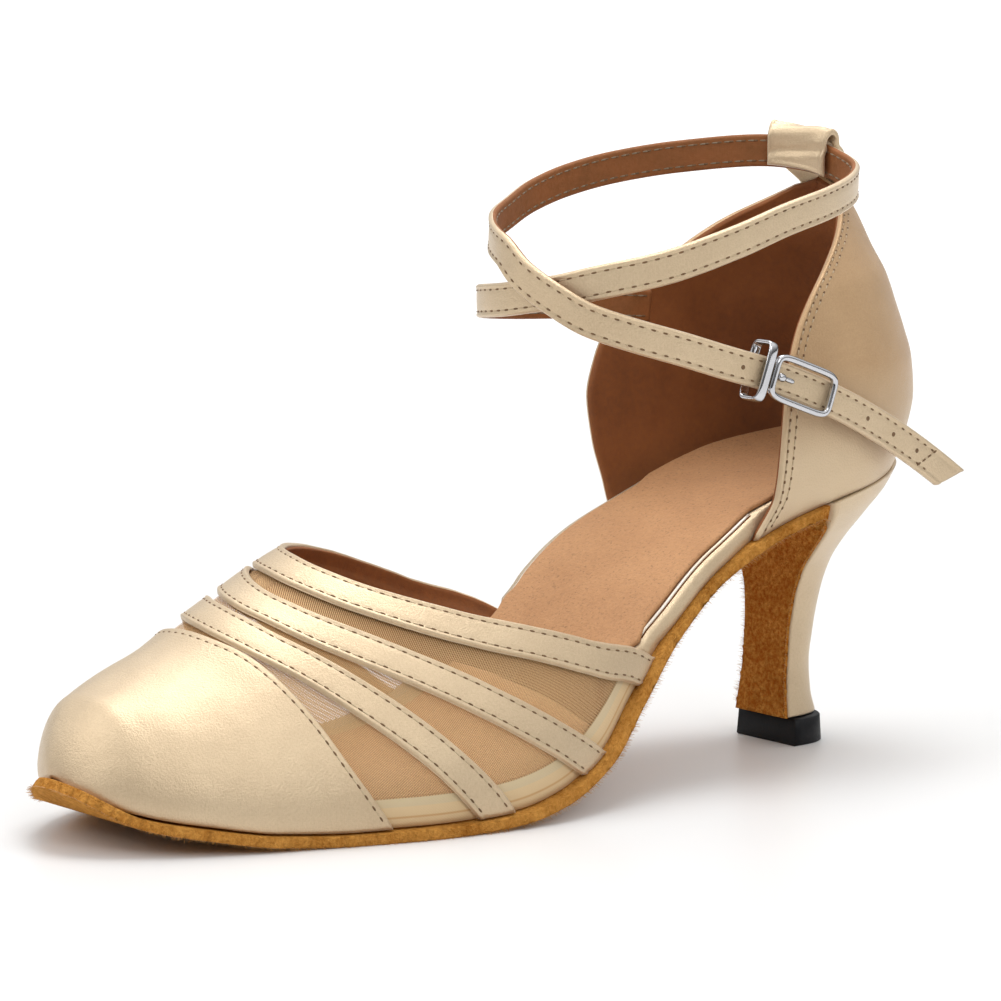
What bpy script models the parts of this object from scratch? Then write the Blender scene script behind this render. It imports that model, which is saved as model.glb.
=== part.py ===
"""Ballroom dance shoe, left foot, about EU 37, flared 60 mm heel, buckled wrap-round ankle strap.
Metres, Z up, floor at z = 0. The toe points to -Y, the outer side of the foot is +X.
The origin is the middle of the heel tip's bottom face."""
import math

import bmesh
import bpy
import numpy as np

MM = 0.001

# Main sizes of the shoe
LENGTH = 218 * MM            # outsole, toe tip to back of the seat
HEEL_REACH = 26 * MM         # back of the seat behind the middle of the heel tip
BALL_WIDTH = 76 * MM         # outsole across the ball
HEEL_HEIGHT = 61 * MM        # underside of the seat at the very back
TOE_SPRING = 12.3 * MM       # underside of the toe tip above the floor
TOE_ROUND = 34 * MM          # length over which the toe outline rounds off
SEAT_ROUND = 27 * MM         # length over which the seat outline rounds off
INSTEP = 54 * MM             # last height above its feather line behind the throat

# Thicknesses, fits and edges
SOLE_THICK = 2.2 * MM
BOARD_THICK = 3.6 * MM
SOCK_THICK = 1.0 * MM
WALL = 1.2 * MM              # lined net of the vamp
COVER = 1.2 * MM             # toe cap and vamp straps, laid over the net
COUNTER_WALL = 2.0 * MM
FIT = 0.3 * MM               # clearance between touching pieces
FEATHER_GAP = 0.5 * MM       # clearance under the bottom edge of the vamp
FEATHER_INSET = 2.6 * MM     # outsole edge shows this far beyond the upper
BARE_INSET = 1.2 * MM        # and this far beyond the bare insole edge at the waist
SEAT_DISH = 4.5 * MM         # insole edge curls up this far round the seat
SIDE_BULGE = 1.6 * MM        # upper swells this far beyond its feather line
SWELL_LEVEL = 0.25           # share of the section's height where it swells most
TOE_WALL = 10 * MM           # length over which the toe rises from its feather line
COUNTER_TOP = 120.5 * MM     # top edge of the counter above the floor
COUNTER_PEAK = 3.5 * MM      # and rises this much more at the tab
PEAK_SPREAD = 60             # over this many degrees to either side
COUNTER_LEAN = 4 * MM        # its top leans this far to the inner side
MM_PER_DEGREE = 0.47 * MM    # forward reach of the counter's wings per degree past the side
VAMP_STRAP_WIDTH = 7.6 * MM
ANKLE_STRAP_WIDTH = 7.2 * MM
STRAP_THICK = 1.6 * MM
STUB_THICK = 1.4 * MM        # short strap that holds the buckle
TAIL_LENGTH = 57.5 * MM      # strap past the start of the buckle
TAIL_FALL = 0.30             # slope at which the tail starts to drop
TAIL_CURVE = 0.0032          # and how much steeper it gets per millimetre
TAIL_INWARD = 2 * MM         # the tail's end swings in towards the counter
TAIL_BEVEL = 6 * MM          # its upper edge ends this far past its lower edge
ANKLE_HALF_WIDTH = 31 * MM   # oval that the ankle strap runs round
ANKLE_HALF_LENGTH = 44.5 * MM
ANKLE_CENTRE = (-3 * MM, -32 * MM)
TAB_WIDTH = 16 * MM          # tab that holds the strap at the back
TAB_THICK = 1.2 * MM
BREAST_PLACE = -7 * MM       # front of the heel at the seat
BREAST_COVER = 0.9 * MM      # suede on that face
SOLE_BEND = 5 * MM           # the sheet turns down over this length
TIP_HEIGHT = 6 * MM
TIP_WIDTH = 19.4 * MM
TIP_DEPTH = 12.3 * MM
STUB_LENGTH = 24 * MM
STUB_SINK = 1.8 * MM         # its rear end comes in this far to the counter
BUCKLE_PLACE = 10.8 * MM     # buckle's middle past the start of the tail
BUCKLE_LENGTH = 19 * MM
BUCKLE_WIDTH = 10.4 * MM
WIRE = 1.5 * MM              # thickness of the buckle's metal
KEEPER_WIDTH = 2.4 * MM
KEEPER_HEIGHT = 12.4 * MM
KEEPER_DEPTH = 5.6 * MM
KEEPER_THICK = 1.0 * MM
PRONG_LENGTH = 5 * MM
PRONG_THICK = 1.3 * MM
SEAT_MIDDLE = 0.94           # place along the shoe whose middle the heel's top follows
WELD = 0.001 * MM
HIDDEN_INSET = FEATHER_INSET + WALL + 3 * FIT   # insole edge inside the upper
SOCK_INSET = 0.8 * MM
EDGE_START, EDGE_END = 0.60, 0.80   # the insole's edge changes between these places along the shoe
TOE_ROWS = 0.35              # share of the vamp's rows that crowd towards the toe
HEEL_FULLNESS = 2.3          # how square the heel's sections are
TIP_FULLNESS = 2.8
TIP_TAPER = 0.96             # the tip narrows this much towards its top
HOOP_FULLNESS = 3.0          # how square the buckle's bent bars are
TAB_TURN = -10               # the tab sits this many degrees round from the back
TAB_SPREAD = 34              # and covers this many degrees of the counter
TAB_LEVELS = (0.97, 0.91, 0.85)
TAB_LEVEL_STEP = 0.05        # distances over which slopes are measured
TAB_TURN_STEP = 2
SLOPE_STEP = 0.012
LINE_STEP = 0.004
SIDE_TURN = 90.0             # degrees from the back to the counter's widest place
BAR_BEND = 1.2               # how early the buckle's bars turn to the side at a corner
HEEL_LEVELS = (0.0, 0.06, 0.13, 0.22, 0.32, 0.42, 0.53, 0.63, 0.72, 0.80, 0.87, 0.92, 0.96, 1.0)

# Rows and columns of the meshes
SOLE_ROWS, BREAST_ROWS = 34, 12
INSOLE_ROWS, INSOLE_COLUMNS = 25, 9
NET_ROWS, CAP_ROWS, TOE_COLUMNS = 26, 16, 25
STRAP_ROWS, STRAP_COLUMNS = 4, 37
COUNTER_ROWS, COUNTER_COLUMNS = 13, 31
HEEL_SIDES, TAB_COLUMNS = 21, 5
WRAP_ROWS, TAIL_ROWS, STUB_ROWS = 84, 12, 9
HOOP_ROWS, BAR_SIDES = 24, 8

# Outline and underside. Columns: along (of LENGTH), swing and half_width (of BALL_WIDTH),
# toe_lift (of TOE_SPRING), heel_lift (of HEEL_HEIGHT)
SOLE = np.array([
    (0.000, -0.076, 0.329, 1.00, 0.000),
    (0.046, -0.080, 0.340, 0.46, 0.000),
    (0.100, -0.080, 0.366, 0.24, 0.000),
    (0.160, -0.067, 0.404, 0.07, 0.000),
    (0.235, -0.039, 0.449, 0.00, 0.000),
    (0.315, -0.011, 0.487, 0.00, 0.000),
    (0.390, 0.013, 0.495, 0.00, 0.013),
    (0.450, 0.028, 0.476, 0.00, 0.054),
    (0.515, 0.024, 0.438, 0.00, 0.152),
    (0.575, 0.004, 0.394, 0.00, 0.328),
    (0.640, -0.019, 0.352, 0.00, 0.525),
    (0.710, -0.033, 0.335, 0.00, 0.698),
    (0.785, -0.034, 0.336, 0.00, 0.818),
    (0.860, -0.032, 0.339, 0.00, 0.889),
    (0.940, -0.030, 0.334, 0.00, 0.952),
    (1.000, -0.029, 0.329, 0.00, 1.000),
])

# Forepart sections. Columns: along (of LENGTH), ridge height (of INSTEP),
# ridge shift to the inner side (of BALL_WIDTH), fullness of the section
LAST = np.array([
    (0.00, 0.20, 0.03, 2.5),
    (0.03, 0.31, 0.04, 2.5),
    (0.07, 0.405, 0.05, 2.4),
    (0.115, 0.505, 0.06, 2.3),
    (0.16, 0.602, 0.07, 2.2),
    (0.20, 0.705, 0.09, 2.15),
    (0.25, 0.805, 0.12, 2.1),
    (0.30, 0.90, 0.14, 2.1),
    (0.36, 0.99, 0.16, 2.1),
    (0.45, 1.10, 0.18, 2.1),
    (0.60, 1.25, 0.18, 2.1),
])

# Counter sections. Columns: level, outer and inner half width (of BALL_WIDTH),
# back, and front edge of the outer and inner wing (of HEEL_REACH)
COUNTER = np.array([
    (0.00, 0.320, 0.318, 0.965, -1.10, -1.13),
    (0.10, 0.342, 0.345, 1.085, -0.93, -1.15),
    (0.25, 0.354, 0.365, 1.190, -0.89, -1.225),
    (0.38, 0.356, 0.375, 1.165, -0.85, -1.25),
    (0.50, 0.350, 0.378, 1.080, -0.78, -1.14),
    (0.60, 0.340, 0.370, 1.000, -0.66, -0.96),
    (0.71, 0.323, 0.345, 0.920, -0.44, -0.66),
    (0.82, 0.283, 0.300, 0.810, -0.13, -0.26),
    (0.92, 0.243, 0.250, 0.740, 0.13, 0.18),
    (1.00, 0.213, 0.205, 0.660, 0.30, 0.55),
])

# Lines across the vamp. Columns: t, then how far along (of LENGTH) lie the toe cap's edge
# and the middles of the front, middle and collar straps
LINES = np.array([
    (0.00, 0.267, 0.372, 0.500, 0.595),
    (0.07, 0.238, 0.326, 0.433, 0.537),
    (0.14, 0.222, 0.283, 0.366, 0.470),
    (0.24, 0.203, 0.238, 0.288, 0.361),
    (0.35, 0.188, 0.205, 0.245, 0.297),
    (0.45, 0.178, 0.197, 0.233, 0.281),
    (0.55, 0.179, 0.206, 0.248, 0.292),
    (0.65, 0.189, 0.232, 0.285, 0.332),
    (0.75, 0.202, 0.262, 0.330, 0.406),
    (0.85, 0.220, 0.300, 0.390, 0.491),
    (0.93, 0.240, 0.338, 0.445, 0.555),
    (1.00, 0.262, 0.376, 0.500, 0.607),
])

# Heel sections. Columns: level from the tip (0) to the seat (1), half width (of BALL_WIDTH),
# back (of HEEL_REACH), how far the section has moved to the seat's middle, front (of BREAST_PLACE)
HEEL = np.array([
    (0.00, 0.108, 0.230, 0.00, 0.96),
    (0.09, 0.099, 0.180, 0.00, 0.92),
    (0.22, 0.091, 0.165, 0.00, 0.84),
    (0.36, 0.091, 0.215, 0.05, 0.76),
    (0.53, 0.103, 0.300, 0.15, 0.62),
    (0.64, 0.128, 0.385, 0.28, 0.54),
    (0.74, 0.180, 0.500, 0.48, 0.53),
    (0.85, 0.256, 0.680, 0.75, 0.66),
    (0.94, 0.308, 0.890, 0.95, 0.86),
    (1.00, 0.328, 0.985, 1.00, 1.00),
])

# Insole's edge. Columns: along, share of it bare on the outer and the inner side, share of the
# seat dish, rise on the inner side (of BOARD_THICK)
INSOLE_EDGE = np.array([
    (0.000, 0.00, 0.00, 0.00, 0.00),
    (0.500, 0.00, 0.00, 0.00, 0.00),
    (0.602, 0.00, 0.00, 0.00, 0.15),
    (0.609, 0.58, 0.00, 0.00, 0.18),
    (0.614, 0.58, 0.00, 0.00, 0.19),
    (0.621, 0.60, 0.58, 0.00, 0.21),
    (0.632, 0.80, 0.60, 0.00, 0.25),
    (0.650, 0.96, 0.88, 0.00, 0.30),
    (0.675, 1.00, 1.00, 0.00, 0.34),
    (0.710, 1.00, 1.00, 0.00, 0.36),
    (0.730, 1.00, 0.97, 0.00, 0.35),
    (0.742, 0.85, 0.65, 0.01, 0.33),
    (0.752, 0.30, 0.15, 0.06, 0.29),
    (0.770, 0.00, 0.00, 0.18, 0.23),
    (0.840, 0.00, 0.00, 0.80, 0.05),
    (0.900, 0.00, 0.00, 1.00, 0.00),
    (1.000, 0.00, 0.00, 1.00, 0.00),
])

# Outsole's turn at the heel. Columns: underside forward to back and down,
# upper side forward to back and down (down of SOLE_BEND)
SOLE_CORNER = np.array([
    (0.40, 0.00, 0.45, 0.00),
    (0.75, 0.12, 0.80, 0.02),
    (0.95, 0.40, 0.97, 0.10),
    (1.00, 0.75, 1.00, 0.45),
])

# Back tab from its inner end over the strap and down behind the counter. Columns:
# outwards and up from the strap's middle, both of ANKLE_STRAP_WIDTH
TAB = np.array([
    (-0.31, -0.42),
    (-0.32, 0.10),
    (-0.29, 0.50),
    (-0.17, 0.78),
    (0.00, 0.88),
    (0.17, 0.78),
    (0.33, 0.45),
    (0.54, 0.05),
    (0.76, -0.38),
])

# Buckle prong. Columns: along (of PRONG_LENGTH), thickness (of PRONG_THICK)
PRONG = np.array([
    (0.00, 0.80),
    (0.25, 1.00),
    (0.70, 1.00),
    (0.90, 0.80),
    (1.00, 0.45),
])

# Ankle strap. Columns: turn in degrees from the back, plus towards the outer side,
# height of its middle (of COUNTER_TOP), distance outside the ankle oval (of STRAP_THICK)
WRAP = np.array([
    (282, 0.796, -0.30),
    (276, 0.798, 0.00),
    (249, 0.811, 0.30),
    (231, 0.822, 0.40),
    (209, 0.837, 0.85),
    (195, 0.845, 0.50),
    (183, 0.852, 0.10),
    (170, 0.862, -0.20),
    (158, 0.872, -0.20),
    (144, 0.889, -0.15),
    (123, 0.914, 0.00),
    (100, 0.955, 0.00),
    (82, 0.988, 0.00),
    (64, 1.008, 0.25),
    (46, 1.024, 0.40),
    (30, 1.036, 0.40),
    (10, 1.052, 0.00),
    (-8, 1.067, 0.00),
    (-27, 1.074, 0.00),
    (-56, 1.063, 0.00),
    (-78, 1.047, 0.00),
    (-96, 1.027, -0.10),
    (-110, 1.007, -0.30),
    (-129, 0.979, -0.75),
    (-150, 0.962, -0.80),
    (-166, 0.949, -0.30),
    (-177, 0.938, 0.40),
    (-190, 0.898, 1.10),
    (-202, 0.863, 1.35),
    (-214, 0.828, 1.45),
    (-227, 0.802, 1.30),
    (-242, 0.774, 0.95),
    (-256, 0.745, 0.60),
    (-267, 0.724, 0.50),
])


def smooth(table, column, at):
    """Reads one column of a table at a place along its first column, without overshoot."""
    xs, ys = table[:, 0], table[:, column]
    step, slope = np.diff(xs), np.diff(ys) / np.diff(xs)
    tangent = np.concatenate([slope[:1], np.zeros(len(xs) - 2), slope[-1:]])
    for i in range(1, len(xs) - 1):
        if slope[i - 1] * slope[i] > 0:
            before, after = 2 * step[i] + step[i - 1], step[i] + 2 * step[i - 1]
            tangent[i] = (before + after) / (before / slope[i - 1] + after / slope[i])
    at = min(max(float(at), xs[0]), xs[-1])
    i = int(min(max(np.searchsorted(xs, at, side="right") - 1, 0), len(xs) - 2))
    t = (at - xs[i]) / step[i]
    start = (1 + 2 * t) * (1 - t) ** 2 * ys[i] + t * (1 - t) ** 2 * step[i] * tangent[i]
    end = t * t * (3 - 2 * t) * ys[i + 1] + t * t * (t - 1) * step[i] * tangent[i + 1]
    return float(start + end)


def rounding(u):
    """How far the outline has opened towards its full width near the toe and the seat."""
    toe, seat = u * LENGTH / TOE_ROUND, (1 - u) * LENGTH / SEAT_ROUND
    nearest = min(toe, seat, 1.0)
    return math.sqrt(max(0.0, 1 - (1 - nearest) ** 2))


def centre(u):
    return BALL_WIDTH * smooth(SOLE, 1, u)


def half_width(u, inset):
    """Half of the outline's width, drawn in by an inset at the sides and the ends alike."""
    share = (u * LENGTH - inset) / (LENGTH - 2 * inset)
    return (BALL_WIDTH * smooth(SOLE, 2, u) - inset) * rounding(min(max(share, 0.0), 1.0))


def rise(u):
    return TOE_SPRING * smooth(SOLE, 3, u) + HEEL_HEIGHT * smooth(SOLE, 4, u)


def tilt(u):
    """Slope of the underside as an angle."""
    low, high = max(u - SLOPE_STEP, 0.0), min(u + SLOPE_STEP, 1.0)
    return math.atan2(rise(high) - rise(low), (high - low) * LENGTH)


def above_sole(u, x, height):
    """A point at a height square above the underside of the outsole."""
    lean, y = tilt(u), HEEL_REACH - LENGTH + u * LENGTH
    return np.array([x, y - height * math.sin(lean), rise(u) + height * math.cos(lean)])


def last_point(u, t):
    """The outside of the net on the forepart. t runs from the outer feather line (0) over the
    ridge to the inner one (1)."""
    width = half_width(u, FEATHER_INSET)
    toe = min(max(u * LENGTH - FEATHER_INSET, 0.0) / TOE_WALL, 1.0)
    height = INSTEP * smooth(LAST, 1, u) * math.sqrt(1 - (1 - toe) ** 2)
    fullness, angle = smooth(LAST, 3, u), math.pi * t
    level = abs(math.sin(angle)) ** (2 / fullness)
    side = math.copysign(abs(math.cos(angle)) ** (2 / fullness), math.cos(angle))
    near_floor = level / SWELL_LEVEL * math.exp(1 - level / SWELL_LEVEL)
    swell = SIDE_BULGE * min(width / TOE_WALL, 1.0) * math.cos(angle) * near_floor
    x = centre(u) - BALL_WIDTH * smooth(LAST, 2, u) * level + width * side + swell
    return above_sole(u, x, SOLE_THICK + FEATHER_GAP) + np.array([0.0, 0.0, height * level])


def seat_height(y):
    """Top of the outsole, or of the heel, at a place along the shoe."""
    u = (y - HEEL_REACH + LENGTH) / LENGTH
    return rise(u) + SOLE_THICK / math.cos(tilt(u))


def counter_point(turn, level):
    """The outside of the counter. turn is in degrees from the back, plus towards the outer side,
    and level runs from the feather line (0) to the top edge (1)."""
    wide = BALL_WIDTH * smooth(COUNTER, 1 if turn > 0 else 2, level)
    deep = HEEL_REACH * smooth(COUNTER, 3, level) + SEAT_ROUND - HEEL_REACH
    ahead = max(abs(turn) - SIDE_TURN, 0.0)
    bend = math.radians(math.copysign(min(abs(turn), SIDE_TURN), turn))
    y = HEEL_REACH - SEAT_ROUND + deep * math.cos(bend) - ahead * MM_PER_DEGREE
    u = (y - HEEL_REACH + LENGTH) / LENGTH
    x = centre(min(u, 1.0)) - COUNTER_LEAN * level ** 2 + wide * math.sin(bend)
    low = seat_height(min(y, HEEL_REACH)) + FIT
    top = COUNTER_TOP + COUNTER_PEAK * max(1 - abs(turn - TAB_TURN) / PEAK_SPREAD, 0.0) ** 2
    return np.array([x, y, low + (top - low) * level])


def wing_turn(side, level):
    """Turn at which the counter's front edge lies on one side."""
    reach = HEEL_REACH * smooth(COUNTER, 4 if side > 0 else 5, level)
    deep = HEEL_REACH * smooth(COUNTER, 3, level) + SEAT_ROUND - HEEL_REACH
    back = reach - (HEEL_REACH - SEAT_ROUND)
    if back >= 0:
        return side * math.degrees(math.acos(min(back / deep, 1.0)))
    return side * (SIDE_TURN - back / MM_PER_DEGREE)


def strap_middle(turn):
    """Middle of the ankle strap where it turns round the ankle, and the way it faces."""
    row = WRAP[::-1]
    off = STRAP_THICK * smooth(row, 2, turn)
    angle = math.radians(turn)
    x = ANKLE_CENTRE[0] + (ANKLE_HALF_WIDTH + off) * math.sin(angle)
    y = ANKLE_CENTRE[1] + (ANKLE_HALF_LENGTH + off) * math.cos(angle)
    return np.array([x, y, COUNTER_TOP * smooth(row, 1, turn)])


def tail_middle(run):
    """Middle of the strap's loose end, at a distance past the last turn."""
    start = strap_middle(WRAP[-1, 0])
    fall = TAIL_FALL * run + TAIL_CURVE / MM * run ** 2
    return start + np.array([-TAIL_INWARD * (run / TAIL_LENGTH) ** 2, run, -fall])


def sheet_normals(grid, flip, flat_sides, pole):
    """Unit normals of a grid of points. Where a piece stands on the sole they lie along the sole,
    and a pole faces straight ahead."""
    along, across = np.gradient(grid, axis=0), np.gradient(grid, axis=1)
    if pole:
        across[0] = across[1]
    normals = np.cross(along, across) * (-1.0 if flip else 1.0)
    if pole:
        normals[0] = (0.0, -1.0, -math.tan(tilt(0.0)))
    if flat_sides:
        for row, line in zip(normals, grid):
            for j in (0, -1):
                row[j][2] = row[j][1] * math.tan(tilt((line[j][1] - HEEL_REACH + LENGTH) / LENGTH))
    return normals / np.linalg.norm(normals, axis=2, keepdims=True)


def add_mesh(name, points, faces, material):
    mesh = bpy.data.meshes.new(name)
    bm = bmesh.new()
    verts = [bm.verts.new(tuple(p)) for p in points]
    for face in faces:
        bm.faces.new([verts[i] for i in face])
    bmesh.ops.remove_doubles(bm, verts=bm.verts, dist=WELD)
    bmesh.ops.dissolve_degenerate(bm, edges=bm.edges, dist=WELD)
    bmesh.ops.recalc_face_normals(bm, faces=bm.faces)
    for face in bm.faces:
        face.smooth = True
    bm.to_mesh(mesh)
    bm.free()
    mesh.materials.append(material)
    obj = bpy.data.objects.new(name, mesh)
    COLLECTION.objects.link(obj)
    return obj


def shell(name, inner, outer, material, pole=False):
    """Closes two matching grids of points into one solid. At a pole the first row is one point."""
    rows, columns = inner.shape[:2]
    points = np.concatenate([inner.reshape(-1, 3), outer.reshape(-1, 3)])
    other = rows * columns
    faces = []
    for i in range(rows - 1):
        for j in range(columns - 1):
            a, b = i * columns + j, (i + 1) * columns + j
            faces.append((a, a + 1, b + 1, b))
            faces.append((other + b, other + b + 1, other + a + 1, other + a))
    for i in range(rows - 1):
        for j in (0, columns - 1):
            a, b = i * columns + j, (i + 1) * columns + j
            faces.append((a, b, other + b, other + a))
    for j in range(columns - 1):
        for i in (rows - 1,) if pole else (0, rows - 1):
            a = i * columns + j
            faces.append((a, a + 1, other + a + 1, other + a))
    return add_mesh(name, points, faces, material)


def sheet(name, grid, low, high, material, flip=False, flat_sides=False, pole=False):
    """A sheet of even thickness between two distances outside a grid of points."""
    normals = sheet_normals(grid, flip, flat_sides, pole)
    return shell(name, grid + low * normals, grid + high * normals, material, pole)


def strip(name, points, facing, width, thick, material, bevel=0.0):
    """A flat strap along a row of points, turned to face the given ways. A bevel makes one edge
    end further on than the other."""
    middle, out = np.array(points), np.array(facing)
    run = np.gradient(middle, axis=0)
    side = np.cross(run, out)
    side /= np.linalg.norm(side, axis=1, keepdims=True)
    out = np.cross(side, run)
    out /= np.linalg.norm(out, axis=1, keepdims=True)
    edges = [middle + width / 2 * k * side for k in (-1, 1)]
    for k, edge in zip((-1, 1), edges):
        edge[-1] -= k * bevel / 2 * run[-1] / np.linalg.norm(run[-1])
    inner = np.stack([e - thick / 2 * out for e in edges], axis=1)
    outer = np.stack([e + thick / 2 * out for e in edges], axis=1)
    return shell(name, inner, outer, material)


def loft(name, rings, material):
    """A solid through closed rings of points, capped at both ends."""
    count = len(rings[0])
    points = np.concatenate(rings)
    faces = [tuple(range(count)), tuple(range(len(points) - count, len(points)))]
    for i in range(len(rings) - 1):
        for j in range(count):
            a, b = i * count + j, i * count + (j + 1) % count
            faces.append((a, b, b + count, a + count))
    return add_mesh(name, points, faces, material)


def finish(name, colour, roughness, metallic=0.0):
    material = bpy.data.materials.new(name)
    material.use_nodes = True
    shader = material.node_tree.nodes["Principled BSDF"]
    shader.inputs["Base Color"].default_value = (*colour, 1.0)
    shader.inputs["Roughness"].default_value = roughness
    shader.inputs["Metallic"].default_value = metallic
    return material


def opened(count, both=True):
    """Places from 0 to 1, closer together near the toe and, if both, near the seat too."""
    steps = np.linspace(0, 1, count)
    return (1 - np.cos(math.pi * steps)) / 2 if both else 1 - np.cos(math.pi / 2 * steps)


# Pieces
for obj in list(bpy.data.objects):
    bpy.data.objects.remove(obj)
COLLECTION = bpy.data.collections.new("ballroom_dance_shoe")
bpy.context.scene.collection.children.link(COLLECTION)

SATIN = finish("champagne_satin", (0.78, 0.66, 0.47), 0.38)
NET = finish("tan_net", (0.68, 0.48, 0.29), 0.80)
TAN = finish("tan_insole_leather", (0.58, 0.36, 0.20), 0.75)
SUEDE = finish("brown_suede", (0.46, 0.22, 0.05), 0.95)
BLACK = finish("black_rubber", (0.02, 0.02, 0.022), 0.55)
CHROME = finish("chrome", (0.80, 0.80, 0.82), 0.12, 1.0)


def edge_point(u, side, height, inset):
    return above_sole(u, centre(u) + side * half_width(u, inset), height)


# Outsole: flat sheet to the heel, then down the front of the heel
def heel_section(level):
    """Half width, middle and front of the heel at one level, and the height of its front."""
    half, middle = BALL_WIDTH * smooth(HEEL, 1, level), centre(SEAT_MIDDLE) * smooth(HEEL, 3, level)
    front, foot = BREAST_PLACE * smooth(HEEL, 4, level), TIP_HEIGHT + FIT
    return half, middle, front, foot + (seat_height(front) - foot) * level


plate_end = (BREAST_PLACE - SOLE_BEND - HEEL_REACH + LENGTH) / LENGTH
front_face, back_face = BREAST_PLACE - FIT - BREAST_COVER, BREAST_PLACE - FIT
inner, outer = [], []
for step in opened(SOLE_ROWS, both=False):
    u = step * plate_end
    inner.append([edge_point(u, side, SOLE_THICK, 0.0) for side in (-1, 1)])
    outer.append([edge_point(u, side, 0.0, 0.0) for side in (-1, 1)])
half, middle = half_width(plate_end, 0.0), centre(plate_end)
corner_end = rise((front_face - HEEL_REACH + LENGTH) / LENGTH) - SOLE_BEND * SOLE_CORNER[-1, 1]
top = (corner_end - FIT - TIP_HEIGHT) / (seat_height(BREAST_PLACE) - TIP_HEIGHT)
heel_half, heel_middle = heel_section(top)[:2]
for out_y, out_drop, in_y, in_drop in SOLE_CORNER:
    y_low = BREAST_PLACE - SOLE_BEND + (front_face - BREAST_PLACE + SOLE_BEND) * out_y
    y_high = BREAST_PLACE - SOLE_BEND + (back_face - BREAST_PLACE + SOLE_BEND) * in_y
    z_low, z_high = rise((y_low - HEEL_REACH + LENGTH) / LENGTH), seat_height(y_high)
    low, high = z_low - SOLE_BEND * out_drop, z_high - SOLE_BEND * in_drop
    wide, aside = half + (heel_half - half) * out_drop, middle + (heel_middle - middle) * out_drop
    outer.append([(aside + k * wide, y_low, low) for k in (-1, 1)])
    inner.append([(aside + k * wide, y_high, high) for k in (-1, 1)])
for level in np.linspace(top, 0, BREAST_ROWS):
    half, middle, front, z = heel_section(level)
    outer.append([(middle + k * half, front - FIT - BREAST_COVER, z) for k in (-1, 1)])
    inner.append([(middle + k * half, front - FIT, z) for k in (-1, 1)])
shell("outsole", np.array(inner), np.array(outer), SUEDE)


# Insole board and the insock on it, dished round the seat and higher under the inner arch
def insole_grid(height, inset_more, upper=True):
    rows, end = [], (HIDDEN_INSET + inset_more) / LENGTH
    steps = INSOLE_EDGE[(INSOLE_EDGE[:, 0] > EDGE_START) & (INSOLE_EDGE[:, 0] < EDGE_END), 0]
    for u in np.union1d(end + (1 - 2 * end) * opened(INSOLE_ROWS), steps):
        hidden = [(HIDDEN_INSET - BARE_INSET) * (1 - smooth(INSOLE_EDGE, k, u)) for k in (1, 2)]
        outer_x = centre(u) + half_width(u, BARE_INSET + hidden[0] + inset_more)
        inner_x = centre(u) - half_width(u, BARE_INSET + hidden[1] + inset_more)
        back = max(u - 1 + SEAT_ROUND / LENGTH, 0.0) * LENGTH / SEAT_ROUND
        row = []
        for share in np.linspace(0, 1, INSOLE_COLUMNS):
            x = outer_x + (inner_x - outer_x) * share
            wide = (x - centre(u)) / (BALL_WIDTH * smooth(SOLE, 2, u))
            dish = SEAT_DISH * smooth(INSOLE_EDGE, 3, u) * min(math.hypot(wide, back), 1.0) ** 3
            arch = BOARD_THICK * smooth(INSOLE_EDGE, 4, u) * share ** 2
            row.append(above_sole(u, x, height + (dish + arch if upper else 0.0)))
        rows.append(row)
    return np.array(rows)


board_low = SOLE_THICK + FIT
board_high = board_low + BOARD_THICK
sock_low = board_high + FIT
shell("insole_board", insole_grid(board_low, 0.0, False), insole_grid(board_high, 0.0), SATIN)
shell("insock", insole_grid(sock_low, SOCK_INSET), insole_grid(sock_low + SOCK_THICK, SOCK_INSET), TAN)


# Vamp: the net from toe to collar, and over it the toe cap and three straps
def vamp_grid(starts, ends, rows, columns, spread):
    """Points between two lines across the forepart, given as functions of t."""
    grid = []
    for share in spread(rows):
        line = []
        for t in np.linspace(0, 1, columns):
            line.append(last_point(starts(t) + (ends(t) - starts(t)) * share, t))
        grid.append(line)
    return np.array(grid)


def from_toe(count):
    """Places from 0 to 1 that open up over the first rows and then stay even."""
    steps = np.linspace(0, 1, count)
    gain = 1 / (2 * TOE_ROWS - TOE_ROWS ** 2)
    return gain * np.where(steps < TOE_ROWS, steps ** 2, TOE_ROWS * (2 * steps - TOE_ROWS))


def evenly(count):
    return np.linspace(0, 1, count)


def toe_tip(t):
    return FEATHER_INSET / LENGTH


sheet("vamp_net", vamp_grid(toe_tip, lambda t: smooth(LINES, 4, t), NET_ROWS, TOE_COLUMNS, from_toe),
      -WALL, 0.0, NET, flat_sides=True, pole=True)
sheet("toe_cap", vamp_grid(toe_tip, lambda t: smooth(LINES, 1, t), CAP_ROWS, TOE_COLUMNS, from_toe),
      FIT, FIT + COVER, SATIN, flat_sides=True, pole=True)


def strap_edge(column, side):
    """One edge of a vamp strap as a function of t, half its width from its middle."""
    def edge(t):
        low, high = max(t - LINE_STEP, 0.0), min(t + LINE_STEP, 1.0)
        u = smooth(LINES, column, t)
        along = (last_point(u + LINE_STEP, t) - last_point(u - LINE_STEP, t)) / (2 * LINE_STEP)
        line = last_point(smooth(LINES, column, high), high) - last_point(smooth(LINES, column, low), low)
        line /= np.linalg.norm(line)
        return u + side * VAMP_STRAP_WIDTH / 2 / np.linalg.norm(np.cross(along, line))
    return edge


for name, column in (("vamp_strap_front", 2), ("vamp_strap_middle", 3), ("vamp_strap_collar", 4)):
    edges = strap_edge(column, -1), strap_edge(column, 1)
    grid = vamp_grid(*edges, STRAP_ROWS, STRAP_COLUMNS, evenly)
    sheet(name, grid, FIT, FIT + COVER, SATIN, flat_sides=True)

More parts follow.
